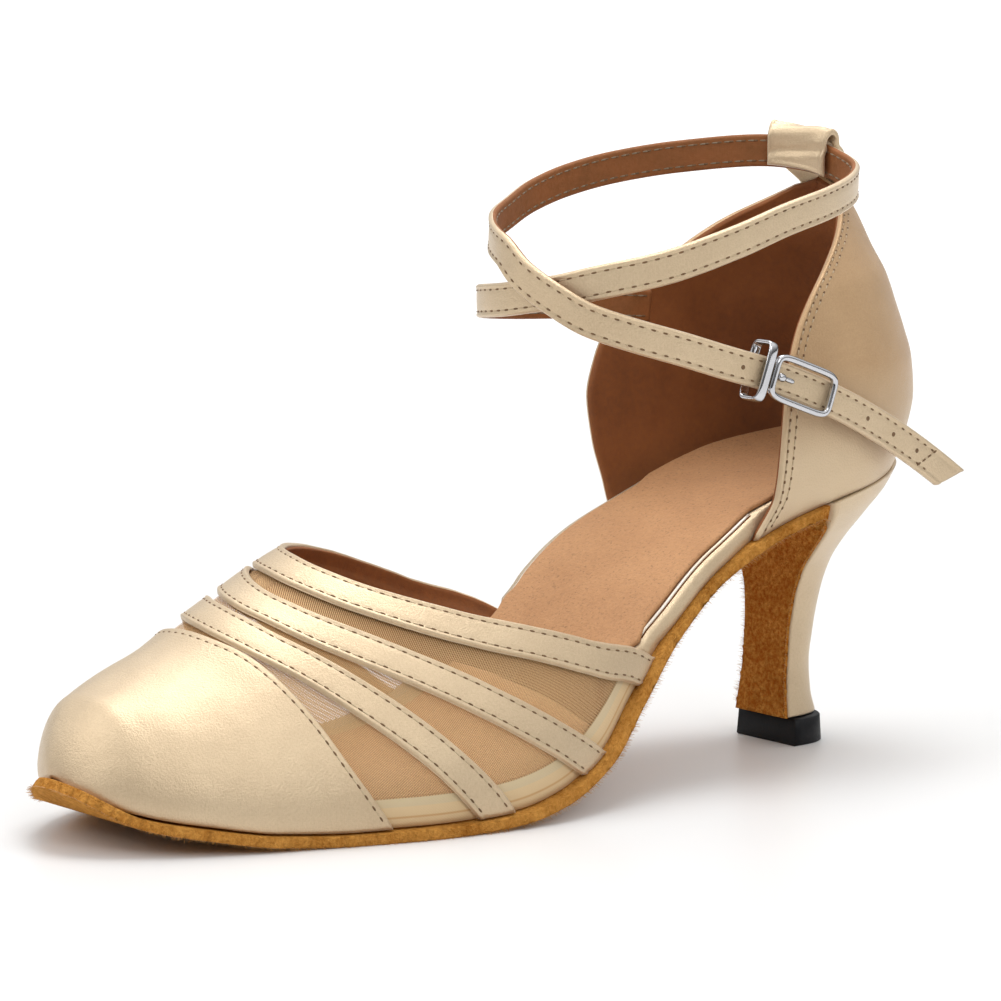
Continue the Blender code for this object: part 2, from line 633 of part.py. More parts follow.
# Counter: one wall round the heel from wing to wing
counter_grid = []
for level in np.linspace(0, 1, COUNTER_ROWS):
    start, end = wing_turn(1, level), wing_turn(-1, level)
    line = [counter_point(start + (end - start) * share, level) for share in evenly(COUNTER_COLUMNS)]
    counter_grid.append(line)
counter_grid = np.array(counter_grid)
counter_out = sheet_normals(counter_grid, True, False, False)
counter_out[0, :, 2] = 0.0
counter_out /= np.linalg.norm(counter_out, axis=2, keepdims=True)
shell("counter", counter_grid - COUNTER_WALL * counter_out, counter_grid, SATIN)

# Heel: flared block under the seat, and the tip it stands on
heel_rings = []
for level in HEEL_LEVELS:
    half, middle, front, height = heel_section(level)
    back, foot = HEEL_REACH * smooth(HEEL, 2, level), TIP_HEIGHT + FIT
    ring = []
    for angle in np.linspace(0, math.pi, HEEL_SIDES):
        x = middle + half * math.copysign(abs(math.cos(angle)) ** (2 / HEEL_FULLNESS), math.cos(angle))
        y = front + (back - front) * abs(math.sin(angle)) ** (2 / HEEL_FULLNESS)
        ring.append((x, y, foot + (seat_height(y) - foot) * level))
    ring += [(middle + half * share, front, height) for share in (-0.5, 0.0, 0.5)]
    heel_rings.append(np.array(ring))
loft("heel", heel_rings, SATIN)

tip_rings = []
for z, grow in ((0.0, 1.0), (TIP_HEIGHT, TIP_TAPER)):
    ring = []
    for angle in np.linspace(0, math.pi, HEEL_SIDES):
        x = TIP_WIDTH / 2 * math.copysign(abs(math.cos(angle)) ** (2 / TIP_FULLNESS), math.cos(angle))
        y = TIP_DEPTH * (math.sin(angle) ** (2 / TIP_FULLNESS) - 0.5)
        ring.append((x * grow, y * grow, z))
    tip_rings.append(np.array(ring))
loft("heel_tip", tip_rings, BLACK)

# Ankle strap: from the inner wing once and a half round to the buckle, then its loose tail
turns = np.linspace(WRAP[0, 0], WRAP[-1, 0], WRAP_ROWS)
path = [strap_middle(turn) for turn in turns]
facing = [(math.sin(math.radians(turn)), math.cos(math.radians(turn)), 0.0) for turn in turns]
tail_runs = np.linspace(0, TAIL_LENGTH, TAIL_ROWS)[1:]
path += [tail_middle(run) for run in tail_runs]
facing += [(1.0, 0.0, 0.0)] * len(tail_runs)
strip("ankle_strap", path, facing, ANKLE_STRAP_WIDTH, STRAP_THICK, SATIN, TAIL_BEVEL)

# Tab that is folded over the strap at the back
tab_grid = []
for share in np.linspace(-0.5, 0.5, TAB_COLUMNS):
    turn = TAB_TURN + math.degrees(share * TAB_WIDTH / ANKLE_HALF_WIDTH)
    middle = strap_middle(turn)
    out = np.array([math.sin(math.radians(turn)), math.cos(math.radians(turn)), 0.0])
    column = [middle + ANKLE_STRAP_WIDTH * (a * out + np.array([0.0, 0.0, b])) for a, b in TAB]
    for level in TAB_LEVELS:
        spot = counter_point(TAB_TURN + share * TAB_SPREAD, level)
        ahead = counter_point(TAB_TURN + share * TAB_SPREAD, level - TAB_LEVEL_STEP) - spot
        side = counter_point(TAB_TURN + share * TAB_SPREAD + TAB_TURN_STEP, level) - spot
        off = np.cross(ahead, side)
        column.append(spot - (FIT + TAB_THICK / 2) * off / np.linalg.norm(off))
    tab_grid.append(column)
sheet("back_tab", np.array(tab_grid), -TAB_THICK / 2, TAB_THICK / 2, SATIN)


# Buckle on its short strap
def strap_frame(run):
    """Middle of the strap at the buckle, with its run, up and outward directions."""
    ahead = tail_middle(run + MM) - tail_middle(run - MM)
    ahead /= np.linalg.norm(ahead)
    up = np.cross(np.array([1.0, 0.0, 0.0]), ahead)
    up /= np.linalg.norm(up)
    return tail_middle(run), ahead, up, np.cross(ahead, up)


def hoop(name, middle, first, second, half_first, half_second, depth_way, flat, deep, material):
    """A closed bar bent into a rounded rectangle."""
    rings = []
    for step in np.linspace(0, 2 * math.pi, HOOP_ROWS, endpoint=False):
        c, s = math.cos(step), math.sin(step)
        a = half_first * math.copysign(abs(c) ** (1 / HOOP_FULLNESS), c)
        b = half_second * math.copysign(abs(s) ** (1 / HOOP_FULLNESS), s)
        way = first * math.copysign(abs(c) ** BAR_BEND, c) + second * math.copysign(abs(s) ** BAR_BEND, s)
        way /= np.linalg.norm(way)
        spot = middle + first * a + second * b
        rings.append([spot + way * flat / 2 * math.cos(k) + depth_way * deep / 2 * math.sin(k)
                      for k in np.linspace(0, 2 * math.pi, BAR_SIDES, endpoint=False)])
    points = np.array(rings).reshape(-1, 3)
    faces = []
    for i in range(HOOP_ROWS):
        for j in range(BAR_SIDES):
            here, after, turned = i * BAR_SIDES, (i + 1) % HOOP_ROWS * BAR_SIDES, (j + 1) % BAR_SIDES
            faces.append((here + j, here + turned, after + turned, after + j))
    return add_mesh(name, points, faces, material)


spot, ahead, up, out = strap_frame(BUCKLE_PLACE)
keeper_middle = spot - ahead * (BUCKLE_LENGTH + KEEPER_WIDTH + 2 * FIT) / 2 - out * (STUB_THICK + FIT) / 2
hoop("buckle_keeper", keeper_middle, up, out, KEEPER_HEIGHT / 2, KEEPER_DEPTH / 2,
              ahead, KEEPER_THICK, KEEPER_WIDTH, CHROME)
frame_middle = spot + out * (STRAP_THICK / 2 + FIT + WIRE / 2)
hoop("buckle_frame", frame_middle, ahead, up, (BUCKLE_LENGTH - WIRE) / 2, (BUCKLE_WIDTH - WIRE) / 2,
             out, WIRE, WIRE, CHROME)
prong_start = spot - ahead * (BUCKLE_LENGTH / 2 - WIRE - FIT)
prong_start = prong_start + out * (STRAP_THICK / 2 + FIT + PRONG_THICK / 2)
prong_rings = []
for share, swell in PRONG:
    base = prong_start + ahead * PRONG_LENGTH * share
    prong_rings.append(np.array([base + PRONG_THICK / 2 * swell * (up * math.cos(k) + out * math.sin(k))
                                 for k in np.linspace(0, 2 * math.pi, BAR_SIDES, endpoint=False)]))
loft("buckle_prong", prong_rings, CHROME)

# Short strap under the tail, from the keeper back to the counter
stub_start = BUCKLE_PLACE - BUCKLE_LENGTH / 2 - FIT - KEEPER_WIDTH
stub_path, stub_facing = [], []
for share in evenly(STUB_ROWS):
    spot, ahead, up, out = strap_frame(stub_start + STUB_LENGTH * share)
    stub_path.append(spot - out * ((STRAP_THICK + STUB_THICK) / 2 + FIT + STUB_SINK * share ** 2))
    stub_facing.append(out)
strip("buckle_strap", stub_path, stub_facing, ANKLE_STRAP_WIDTH - FIT, STUB_THICK, SATIN)
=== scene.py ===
"""Looks of the ballroom dance shoe: satin, net, suede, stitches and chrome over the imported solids."""
import math

import bmesh
import bpy
import numpy as np
from mathutils import Matrix, Vector


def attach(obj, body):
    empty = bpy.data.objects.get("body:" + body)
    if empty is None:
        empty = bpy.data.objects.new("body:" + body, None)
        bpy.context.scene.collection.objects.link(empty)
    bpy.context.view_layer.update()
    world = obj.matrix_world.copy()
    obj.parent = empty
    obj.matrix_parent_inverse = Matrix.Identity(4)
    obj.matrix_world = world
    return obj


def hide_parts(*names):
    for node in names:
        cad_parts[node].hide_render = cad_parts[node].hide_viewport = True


bl_info = {
    "name": "Ballroom dance shoe",
    "version": (1, 0, 0),
    "blender": (4, 5, 0),
    "location": "3D View > Sidebar > Dance shoe",
    "description": "Builds the satin, net, suede and metal pieces of a heeled dance shoe",
    "category": "Add Mesh",
}

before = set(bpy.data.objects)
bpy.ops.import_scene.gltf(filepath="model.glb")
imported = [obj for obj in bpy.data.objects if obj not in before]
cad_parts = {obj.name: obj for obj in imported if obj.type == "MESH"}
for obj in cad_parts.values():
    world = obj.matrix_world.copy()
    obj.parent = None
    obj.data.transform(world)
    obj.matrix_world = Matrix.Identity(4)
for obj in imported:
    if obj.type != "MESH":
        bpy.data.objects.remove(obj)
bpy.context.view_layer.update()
MM = 0.001

# Form of the shoe, as in the solids
LENGTH = 218 * MM
HEEL_REACH = 26 * MM
BALL_WIDTH = 76 * MM
HEEL_HEIGHT = 61 * MM
TOE_SPRING = 12.3 * MM
TOE_ROUND = 34 * MM
SEAT_ROUND = 27 * MM
INSTEP = 54 * MM
SOLE_THICK = 2.2 * MM
BOARD_THICK = 3.6 * MM
SOCK_THICK = 1.0 * MM
WALL = 1.2 * MM
COVER = 1.2 * MM
COUNTER_WALL = 2.0 * MM
FIT = 0.3 * MM
FEATHER_GAP = 0.5 * MM
FEATHER_INSET = 2.6 * MM
BARE_INSET = 1.2 * MM
HIDDEN_INSET = FEATHER_INSET + WALL + 3 * FIT
SOCK_INSET = 0.8 * MM
SEAT_DISH = 4.5 * MM
SIDE_BULGE = 1.6 * MM
SWELL_LEVEL = 0.25
TOE_WALL = 10 * MM
COUNTER_TOP = 120.5 * MM
COUNTER_PEAK = 3.5 * MM
PEAK_SPREAD = 60
COUNTER_LEAN = 4 * MM
MM_PER_DEGREE = 0.47 * MM
VAMP_STRAP_WIDTH = 7.6 * MM
ANKLE_STRAP_WIDTH = 7.2 * MM
STRAP_THICK = 1.6 * MM
STUB_THICK = 1.4 * MM
TAIL_LENGTH = 57.5 * MM
TAIL_FALL = 0.30
TAIL_CURVE = 0.0032
TAIL_INWARD = 2 * MM
TAIL_BEVEL = 6 * MM
ANKLE_HALF_WIDTH = 31 * MM
ANKLE_HALF_LENGTH = 44.5 * MM
ANKLE_CENTRE = (-3 * MM, -32 * MM)
TAB_WIDTH = 16 * MM
TAB_THICK = 1.2 * MM
TAB_TURN = -10
TAB_SPREAD = 34
TAB_LEVELS = (0.97, 0.91, 0.85)
BREAST_PLACE = -7 * MM
BREAST_COVER = 0.9 * MM
SOLE_BEND = 5 * MM
TIP_HEIGHT = 6 * MM
TIP_WIDTH = 19.4 * MM
TIP_DEPTH = 12.3 * MM
STUB_LENGTH = 24 * MM
STUB_SINK = 1.8 * MM
BUCKLE_PLACE = 10.8 * MM
BUCKLE_LENGTH = 19 * MM
BUCKLE_WIDTH = 10.4 * MM
WIRE = 1.5 * MM
KEEPER_WIDTH = 2.4 * MM
KEEPER_HEIGHT = 12.4 * MM
KEEPER_DEPTH = 5.6 * MM
KEEPER_THICK = 1.0 * MM
PRONG_LENGTH = 5 * MM
PRONG_THICK = 1.3 * MM
SEAT_MIDDLE = 0.94
HEEL_FULLNESS = 2.3
TIP_FULLNESS = 2.8
TIP_TAPER = 0.96
HOOP_FULLNESS = 3.0

# Detail that is in the looks alone
WELD = 0.001 * MM
SLOPE_REACH = 0.012                           # of LENGTH, to either side of where a slope is taken
SOLE_ROUGH = (0.34 * MM, 0.26 * MM, 0.12 * MM)  # waves of the sole's edge, long to short
SOLE_EDGE_LEVELS = (0.12, 0.35, 0.65, 0.9)    # from its upper to its lower side
FIBRE_LEVEL = 0.95                            # where the loose fibres stand, on the same scale
FIBRE_DROOP = 0.57                            # how far they lean down for each length outwards
FIBRE_CLEAR = 0.1 * MM                        # their least height over the floor
FIBRE_SPACING = 0.16 * MM
FIBRE_THICK = 0.05 * MM
ROLL_LEVELS = (0.1, 0.3, 0.6, 0.85)           # from the board's lower to its upper side
ROLL_BULGE = 0.5 * MM
SOCK_ACROSS = 40 * MM                         # rough width of the insock, for its rounded edge
SOCK_EDGE = 0.8 * MM
SOCK_UNEVEN = 0.10 * MM
NET_THICK = 0.28 * MM
LINE_EASE = 0.05                              # of t, over which lines across the vamp are eased
LINING_LENGTH = 0.075                         # of LENGTH, brown band inside the collar
LINING_BACK = 0.0015                          # of LENGTH, from its rear edge to the strap's
LINING_SINK = 0.35 * MM                       # below the net's outer face
LINING_THICK = 0.60 * MM
LINING_RISE = 0.60 * MM                       # it comes up this far where the net ends,
LINING_RAMP = 0.004                           # over this part of LENGTH
STITCH_PROUD = 0.02 * MM                      # threads stand this far over their seam
CAP_STITCH_SINK = 0.10 * MM
WING_ROW_GAP = 1.9 * MM                       # between the two rows along a wing
WING_STEP = 4                                 # degrees over which a wing's length is measured
SHOE_MIDDLE = (0, 0, 0.09)                    # a place inside the counter
BEVEL_REACH = 12 * MM                         # the tail turns slanting over this length
TAIL_ROW = -16                                # sample of the path where the tail's end is sewn
HOLE_RADIUS = 0.6 * MM
TAB_EDGE = 0.8 * MM

# Outline and underside. Columns: along (of LENGTH), swing and half_width (of BALL_WIDTH),
# toe_lift (of TOE_SPRING), heel_lift (of HEEL_HEIGHT)
SOLE = np.array([
    (0.000, -0.076, 0.329, 1.00, 0.000),
    (0.046, -0.080, 0.340, 0.46, 0.000),
    (0.100, -0.080, 0.366, 0.24, 0.000),
    (0.160, -0.067, 0.404, 0.07, 0.000),
    (0.235, -0.039, 0.449, 0.00, 0.000),
    (0.315, -0.011, 0.487, 0.00, 0.000),
    (0.390, 0.013, 0.495, 0.00, 0.013),
    (0.450, 0.028, 0.476, 0.00, 0.054),
    (0.515, 0.024, 0.438, 0.00, 0.152),
    (0.575, 0.004, 0.394, 0.00, 0.328),
    (0.640, -0.019, 0.352, 0.00, 0.525),
    (0.710, -0.033, 0.335, 0.00, 0.698),
    (0.785, -0.034, 0.336, 0.00, 0.818),
    (0.860, -0.032, 0.339, 0.00, 0.889),
    (0.940, -0.030, 0.334, 0.00, 0.952),
    (1.000, -0.029, 0.329, 0.00, 1.000),
])

# Forepart sections. Columns: along (of LENGTH), ridge height (of INSTEP),
# ridge shift to the inner side (of BALL_WIDTH), fullness of the section
LAST = np.array([
    (0.00, 0.20, 0.03, 2.5),
    (0.03, 0.31, 0.04, 2.5),
    (0.07, 0.405, 0.05, 2.4),
    (0.115, 0.505, 0.06, 2.3),
    (0.16, 0.602, 0.07, 2.2),
    (0.20, 0.705, 0.09, 2.15),
    (0.25, 0.805, 0.12, 2.1),
    (0.30, 0.90, 0.14, 2.1),
    (0.36, 0.99, 0.16, 2.1),
    (0.45, 1.10, 0.18, 2.1),
    (0.60, 1.25, 0.18, 2.1),
])

# Counter sections. Columns: level, outer and inner half width (of BALL_WIDTH),
# back, and front edge of the outer and inner wing (of HEEL_REACH)
COUNTER = np.array([
    (0.00, 0.320, 0.318, 0.965, -1.10, -1.13),
    (0.10, 0.342, 0.345, 1.085, -0.93, -1.15),
    (0.25, 0.354, 0.365, 1.190, -0.89, -1.225),
    (0.38, 0.356, 0.375, 1.165, -0.85, -1.25),
    (0.50, 0.350, 0.378, 1.080, -0.78, -1.14),
    (0.60, 0.340, 0.370, 1.000, -0.66, -0.96),
    (0.71, 0.323, 0.345, 0.920, -0.44, -0.66),
    (0.82, 0.283, 0.300, 0.810, -0.13, -0.26),
    (0.92, 0.243, 0.250, 0.740, 0.13, 0.18),
    (1.00, 0.213, 0.205, 0.660, 0.30, 0.55),
])

# Lines across the vamp. Columns: t, then how far along (of LENGTH) lie the toe cap's edge
# and the middles of the front, middle and collar straps
LINES = np.array([
    (0.00, 0.267, 0.372, 0.500, 0.595),
    (0.07, 0.238, 0.326, 0.433, 0.537),
    (0.14, 0.222, 0.283, 0.366, 0.470),
    (0.24, 0.203, 0.238, 0.288, 0.361),
    (0.35, 0.188, 0.205, 0.245, 0.297),
    (0.45, 0.178, 0.197, 0.233, 0.281),
    (0.55, 0.179, 0.206, 0.248, 0.292),
    (0.65, 0.189, 0.232, 0.285, 0.332),
    (0.75, 0.202, 0.262, 0.330, 0.406),
    (0.85, 0.220, 0.300, 0.390, 0.491),
    (0.93, 0.240, 0.338, 0.445, 0.555),
    (1.00, 0.262, 0.376, 0.500, 0.607),
])

# Heel sections. Columns: level from the tip (0) to the seat (1), half width (of BALL_WIDTH),
# back (of HEEL_REACH), how far the section has moved to the seat's middle, front (of BREAST_PLACE)
HEEL = np.array([
    (0.00, 0.108, 0.230, 0.00, 0.96),
    (0.09, 0.099, 0.180, 0.00, 0.92),
    (0.22, 0.091, 0.165, 0.00, 0.84),
    (0.36, 0.091, 0.215, 0.05, 0.76),
    (0.53, 0.103, 0.300, 0.15, 0.62),
    (0.64, 0.128, 0.385, 0.28, 0.54),
    (0.74, 0.180, 0.500, 0.48, 0.53),
    (0.85, 0.256, 0.680, 0.75, 0.66),
    (0.94, 0.308, 0.890, 0.95, 0.86),
    (1.00, 0.328, 0.985, 1.00, 1.00),
])

# Insole's edge. Columns: along, share of it bare on the outer and the inner side, share of the
# seat dish, rise on the inner side (of BOARD_THICK)
INSOLE_EDGE = np.array([
    (0.000, 0.00, 0.00, 0.00, 0.00),
    (0.500, 0.00, 0.00, 0.00, 0.00),
    (0.602, 0.00, 0.00, 0.00, 0.15),
    (0.609, 0.58, 0.00, 0.00, 0.18),
    (0.614, 0.58, 0.00, 0.00, 0.19),
    (0.621, 0.60, 0.58, 0.00, 0.21),
    (0.632, 0.80, 0.60, 0.00, 0.25),
    (0.650, 0.96, 0.88, 0.00, 0.30),
    (0.675, 1.00, 0.96, 0.00, 0.34),
    (0.700, 0.96, 0.80, 0.00, 0.36),
    (0.720, 0.86, 0.58, 0.00, 0.35),
    (0.740, 0.66, 0.30, 0.01, 0.33),
    (0.758, 0.42, 0.12, 0.08, 0.28),
    (0.780, 0.16, 0.02, 0.24, 0.20),
    (0.840, 0.00, 0.00, 0.80, 0.05),
    (0.900, 0.00, 0.00, 1.00, 0.00),
    (1.000, 0.00, 0.00, 1.00, 0.00),
])

# Outsole's turn at the heel. Columns: underside forward to back and down,
# upper side forward to back and down (down of SOLE_BEND)
SOLE_CORNER = np.array([
    (0.40, 0.00, 0.45, 0.00),
    (0.75, 0.12, 0.80, 0.02),
    (0.95, 0.40, 0.97, 0.10),
    (1.00, 0.75, 1.00, 0.45),
])

# Back tab from its inner end over the strap and down behind the counter. Columns:
# outwards and up from the strap's middle, both of ANKLE_STRAP_WIDTH
TAB = np.array([
    (-0.31, -0.42),
    (-0.32, 0.10),
    (-0.29, 0.50),
    (-0.17, 0.78),
    (0.00, 0.88),
    (0.17, 0.78),
    (0.33, 0.45),
    (0.54, 0.05),
    (0.76, -0.38),
])

# Ankle strap. Columns: turn in degrees from the back, plus towards the outer side,
# height of its middle (of COUNTER_TOP), distance outside the ankle oval (of STRAP_THICK).
# Its first end lies inside the inner wing, where it is sewn on
WRAP = np.array([
    (292, 0.791, -2.25),
    (284, 0.795, -2.85),
    (277, 0.798, -2.30),
    (267, 0.803, -1.00),
    (258, 0.807, -0.05),
    (249, 0.811, 0.30),
    (231, 0.822, 0.40),
    (209, 0.837, 0.85),
    (195, 0.845, 0.50),
    (183, 0.852, 0.10),
    (170, 0.862, -0.20),
    (158, 0.872, -0.20),
    (144, 0.889, -0.15),
    (123, 0.914, 0.00),
    (100, 0.955, 0.00),
    (82, 0.988, 0.00),
    (64, 1.008, 0.25),
    (46, 1.024, 0.40),
    (30, 1.036, 0.40),
    (10, 1.052, 0.00),
    (-8, 1.067, 0.00),
    (-27, 1.074, 0.00),
    (-56, 1.063, 0.00),
    (-78, 1.047, 0.00),
    (-96, 1.027, -0.10),
    (-110, 1.007, -0.30),
    (-129, 0.979, -0.75),
    (-150, 0.962, -0.80),
    (-166, 0.949, -0.30),
    (-177, 0.938, 0.40),
    (-190, 0.898, 1.10),
    (-202, 0.863, 1.35),
    (-214, 0.828, 1.45),
    (-227, 0.802, 1.30),
    (-242, 0.774, 0.95),
    (-256, 0.745, 0.60),
    (-267, 0.724, 0.50),
])

# Buckle prong. Columns: along (of PRONG_LENGTH), thickness (of PRONG_THICK)
PRONG_SHAPE = np.array([
    (0.00, 0.10),
    (0.04, 0.75),
    (0.16, 1.38),
    (0.32, 1.34),
    (0.46, 0.78),
    (0.80, 0.80),
    (0.95, 0.60),
    (1.00, 0.10),
])

# Soft folds across the back tab. Columns: row where it starts, slant, width in rows, depth
TAB_CREASES = (
    (6, 0.35, 2.6, -0.60 * MM),
    (14, 0.50, 3.2, 0.50 * MM),
    (20, 0.55, 2.4, -0.60 * MM),
    (62, -0.30, 4.0, 0.30 * MM),
)

# Punched holes of the tail, millimetres past its start
PUNCHED = (-5.3, 33.4, 42.2, 51.0)

# Dark plug that paints the shade inside a punched hole, bottom first. Columns: share of its radius, height
# over the strap
HOLE_SHAPE = (
    (0.85, -0.32 * MM),
    (0.85, 0.03 * MM),
    (0.55, 0.05 * MM),
    (0.30, 0.01 * MM),
)

# Cords along the bare insole edge: name, inset, radius, height above the board, finish. The two dark cords
# are painted shadow in the grooves either side of the pale piping
PIPING = (
    ("pale_piping", 1.75 * MM, 0.42 * MM, 0.12 * MM, "piping"),
    ("gap_shadow", 2.35 * MM, 0.30 * MM, 0.05 * MM, "gap"),
    ("groove_shadow", 1.22 * MM, 0.18 * MM, 0.05 * MM, "gap"),
)
PIPED = (0.612, 0.772)   # they run between these places along the shoe
SOCK_BACK = 1.7 * MM     # the insock lies back this far from them,
SOCK_RAMP = 0.02         # and goes back over this part of LENGTH

# Bands of the net, millimetres up from the sole: lower end, upper end, softness of both
RIBBON = (4.6, 7.0, 0.3)
RIBBON_SHADOW = (6.7, 7.5, 0.3)
# Painted shade: a dark line along the hem's fold
HEM_FOLD_SHADE = (1.9, 2.6, 0.25)
HEM_END = (5.2, 4.9)     # the hem fades out between these

# Heights over the floor between which the counter turns paler downwards, as its painted shade fades out into
# the plain satin
COUNTER_SHADE_FADE = (66 * MM, 86 * MM)

# Studio lights: name, place, width in metres, power in watts
LIGHTS = (
    ("overhead_softbox", (-0.35, 0.4, 1.9), 1.1, 24.0),
    ("right_softbox", (1.7, -0.6, 1.3), 0.7, 7.0),
    ("front_left_softbox", (-0.8, -1.8, 1.5), 0.9, 10.0),
)

# Glow of the studio's walls by height: lowest and highest place, glow there
SKY_GLOW = (0.04, 0.5, 0.06, 1.08)

# The walls are dimmed behind the camera: how near to straight behind it this starts and ends,
# glow kept at its start and end
DARK_SIDE = (0.70, 0.93, 1.0, 0.25)

# Floor, and the glow that lets it fade into the walls: nearest and farthest place, glow there
FLOOR_HALF = 6.0
FLOOR_GLOW = (0.3, 1.8, 0.0, 0.5)

# Camera of the photograph: turn from the front, rise and roll in degrees, distance and aim in
# metres, width of its sensor in millimetres and of the picture in pixels
CAMERA_TURN = 51.480173
CAMERA_RISE = 8.487117
CAMERA_ROLL = 0.011498
CAMERA_DISTANCE = 1.000026
CAMERA_AIM = (0.0122005, -0.0911625, 0.0631148)
SENSOR_WIDTH = 36.0
PHOTO_WIDTH = 1001
CAMERA_LENS = 4819.883 * SENSOR_WIDTH / PHOTO_WIDTH


def smooth(table, column, at):
    """Reads a column of a table at places along its first column, without overshoot."""
    xs, ys = table[:, 0], table[:, column]
    step, slope = np.diff(xs), np.diff(ys) / np.diff(xs)
    before, after = 2 * step[1:] + step[:-1], step[1:] + 2 * step[:-1]
    rising = slope[:-1] * slope[1:] > 0
    safe = np.where(rising, slope[:-1], 1.0), np.where(rising, slope[1:], 1.0)
    inner = np.where(rising, (before + after) / (before / safe[0] + after / safe[1]), 0.0)
    tangent = np.concatenate([slope[:1], inner, slope[-1:]])
    at = np.clip(np.asarray(at, float), xs[0], xs[-1])
    i = np.clip(np.searchsorted(xs, at, side="right") - 1, 0, len(xs) - 2)
    t = (at - xs[i]) / step[i]
    start = (1 + 2 * t) * (1 - t) ** 2 * ys[i] + t * (1 - t) ** 2 * step[i] * tangent[i]
    return start + t * t * (3 - 2 * t) * ys[i + 1] + t * t * (t - 1) * step[i] * tangent[i + 1]


def unit(vectors):
    return vectors / np.maximum(np.linalg.norm(vectors, axis=-1, keepdims=True), 1e-12)


def stack(x, y, z):
    return np.stack(np.broadcast_arrays(x, y, z), axis=-1)


def rounding(u):
    nearest = np.minimum(np.minimum(u * LENGTH / TOE_ROUND, (1 - u) * LENGTH / SEAT_ROUND), 1.0)
    return np.sqrt(np.maximum(0.0, 1 - (1 - nearest) ** 2))


def centre(u):
    return BALL_WIDTH * smooth(SOLE, 1, u)


def half_width(u, inset):
    share = np.clip((u * LENGTH - inset) / (LENGTH - 2 * inset), 0.0, 1.0)
    return (BALL_WIDTH * smooth(SOLE, 2, u) - inset) * rounding(share)


def rise(u):
    return TOE_SPRING * smooth(SOLE, 3, u) + HEEL_HEIGHT * smooth(SOLE, 4, u)


def tilt(u):
    low, high = np.maximum(u - SLOPE_REACH, 0.0), np.minimum(u + SLOPE_REACH, 1.0)
    return np.arctan2(rise(high) - rise(low), (high - low) * LENGTH)


def above_sole(u, x, height):
    lean = tilt(u)
    return stack(x, HEEL_REACH - LENGTH + u * LENGTH - height * np.sin(lean), rise(u) + height * np.cos(lean))


def last_point(u, t):
    """The outside of the net. t runs from the outer feather line (0) to the inner one (1)."""
    width = half_width(u, FEATHER_INSET)
    toe = np.clip((u * LENGTH - FEATHER_INSET) / TOE_WALL, 0.0, 1.0)
    height = INSTEP * smooth(LAST, 1, u) * np.sqrt(1 - (1 - toe) ** 2)
    fullness, angle = smooth(LAST, 3, u), np.pi * t
    level = np.abs(np.sin(angle)) ** (2 / fullness)
    side = np.sign(np.cos(angle)) * np.abs(np.cos(angle)) ** (2 / fullness)
    near_floor = level / SWELL_LEVEL * np.exp(1 - level / SWELL_LEVEL)
    swell = SIDE_BULGE * np.minimum(width / TOE_WALL, 1.0) * np.cos(angle) * near_floor
    x = centre(u) - BALL_WIDTH * smooth(LAST, 2, u) * level + width * side + swell
    foot = above_sole(u, x, SOLE_THICK + FEATHER_GAP)
    foot[..., 2] += height * level
    return foot


def seat_height(y):
    u = (y - HEEL_REACH + LENGTH) / LENGTH
    return rise(u) + SOLE_THICK / np.cos(tilt(u))


def counter_point(turn, level):
    """The outside of the counter. turn is in degrees from the back, plus towards the outer side."""
    turn, level = np.broadcast_arrays(np.asarray(turn, float), np.asarray(level, float))
    wide = BALL_WIDTH * np.where(turn > 0, smooth(COUNTER, 1, level), smooth(COUNTER, 2, level))
    deep = HEEL_REACH * smooth(COUNTER, 3, level) + SEAT_ROUND - HEEL_REACH
    ahead = np.maximum(np.abs(turn) - 90.0, 0.0)
    bend = np.radians(np.clip(turn, -90.0, 90.0))
    y = HEEL_REACH - SEAT_ROUND + deep * np.cos(bend) - ahead * MM_PER_DEGREE
    u = np.minimum((y - HEEL_REACH + LENGTH) / LENGTH, 1.0)
    x = centre(u) - COUNTER_LEAN * level ** 2 + wide * np.sin(bend)
    low = seat_height(np.minimum(y, HEEL_REACH)) + FIT
    top = COUNTER_TOP + COUNTER_PEAK * np.maximum(1 - np.abs(turn - TAB_TURN) / PEAK_SPREAD, 0.0) ** 2
    return stack(x, y, low + (top - low) * level)


def wing_turn(side, level):
    reach = HEEL_REACH * smooth(COUNTER, 4 if side > 0 else 5, level)
    deep = HEEL_REACH * smooth(COUNTER, 3, level) + SEAT_ROUND - HEEL_REACH
    back = reach - (HEEL_REACH - SEAT_ROUND)
    behind = np.degrees(np.arccos(np.clip(back / deep, -1.0, 1.0)))
    return side * np.where(back >= 0, behind, 90.0 - back / MM_PER_DEGREE)


def heel_section(level):
    half, middle = BALL_WIDTH * smooth(HEEL, 1, level), centre(SEAT_MIDDLE) * smooth(HEEL, 3, level)
    front, foot = BREAST_PLACE * smooth(HEEL, 4, level), TIP_HEIGHT + FIT
    return half, middle, front, foot + (seat_height(front) - foot) * level


def strap_middle(turn):
    row, angle = WRAP[::-1], np.radians(turn)
    off = STRAP_THICK * smooth(row, 2, turn)
    return stack(ANKLE_CENTRE[0] + (ANKLE_HALF_WIDTH + off) * np.sin(angle),
                 ANKLE_CENTRE[1] + (ANKLE_HALF_LENGTH + off) * np.cos(angle),
                 COUNTER_TOP * smooth(row, 1, turn))


def tail_middle(run):
    run = np.asarray(run, float)
    inward = -TAIL_INWARD * (run / TAIL_LENGTH) ** 2
    fall = -TAIL_FALL * run - TAIL_CURVE / MM * run ** 2
    return strap_middle(WRAP[-1, 0]) + stack(inward, run, fall)


def strap_frame(run):
    """Middle of the strap at the buckle, with its run, up and outward directions."""
    ahead = unit(tail_middle(run + MM) - tail_middle(run - MM))
    up = unit(np.cross(np.array([1.0, 0.0, 0.0]), ahead))
    return tail_middle(run), ahead, up, np.cross(ahead, up)


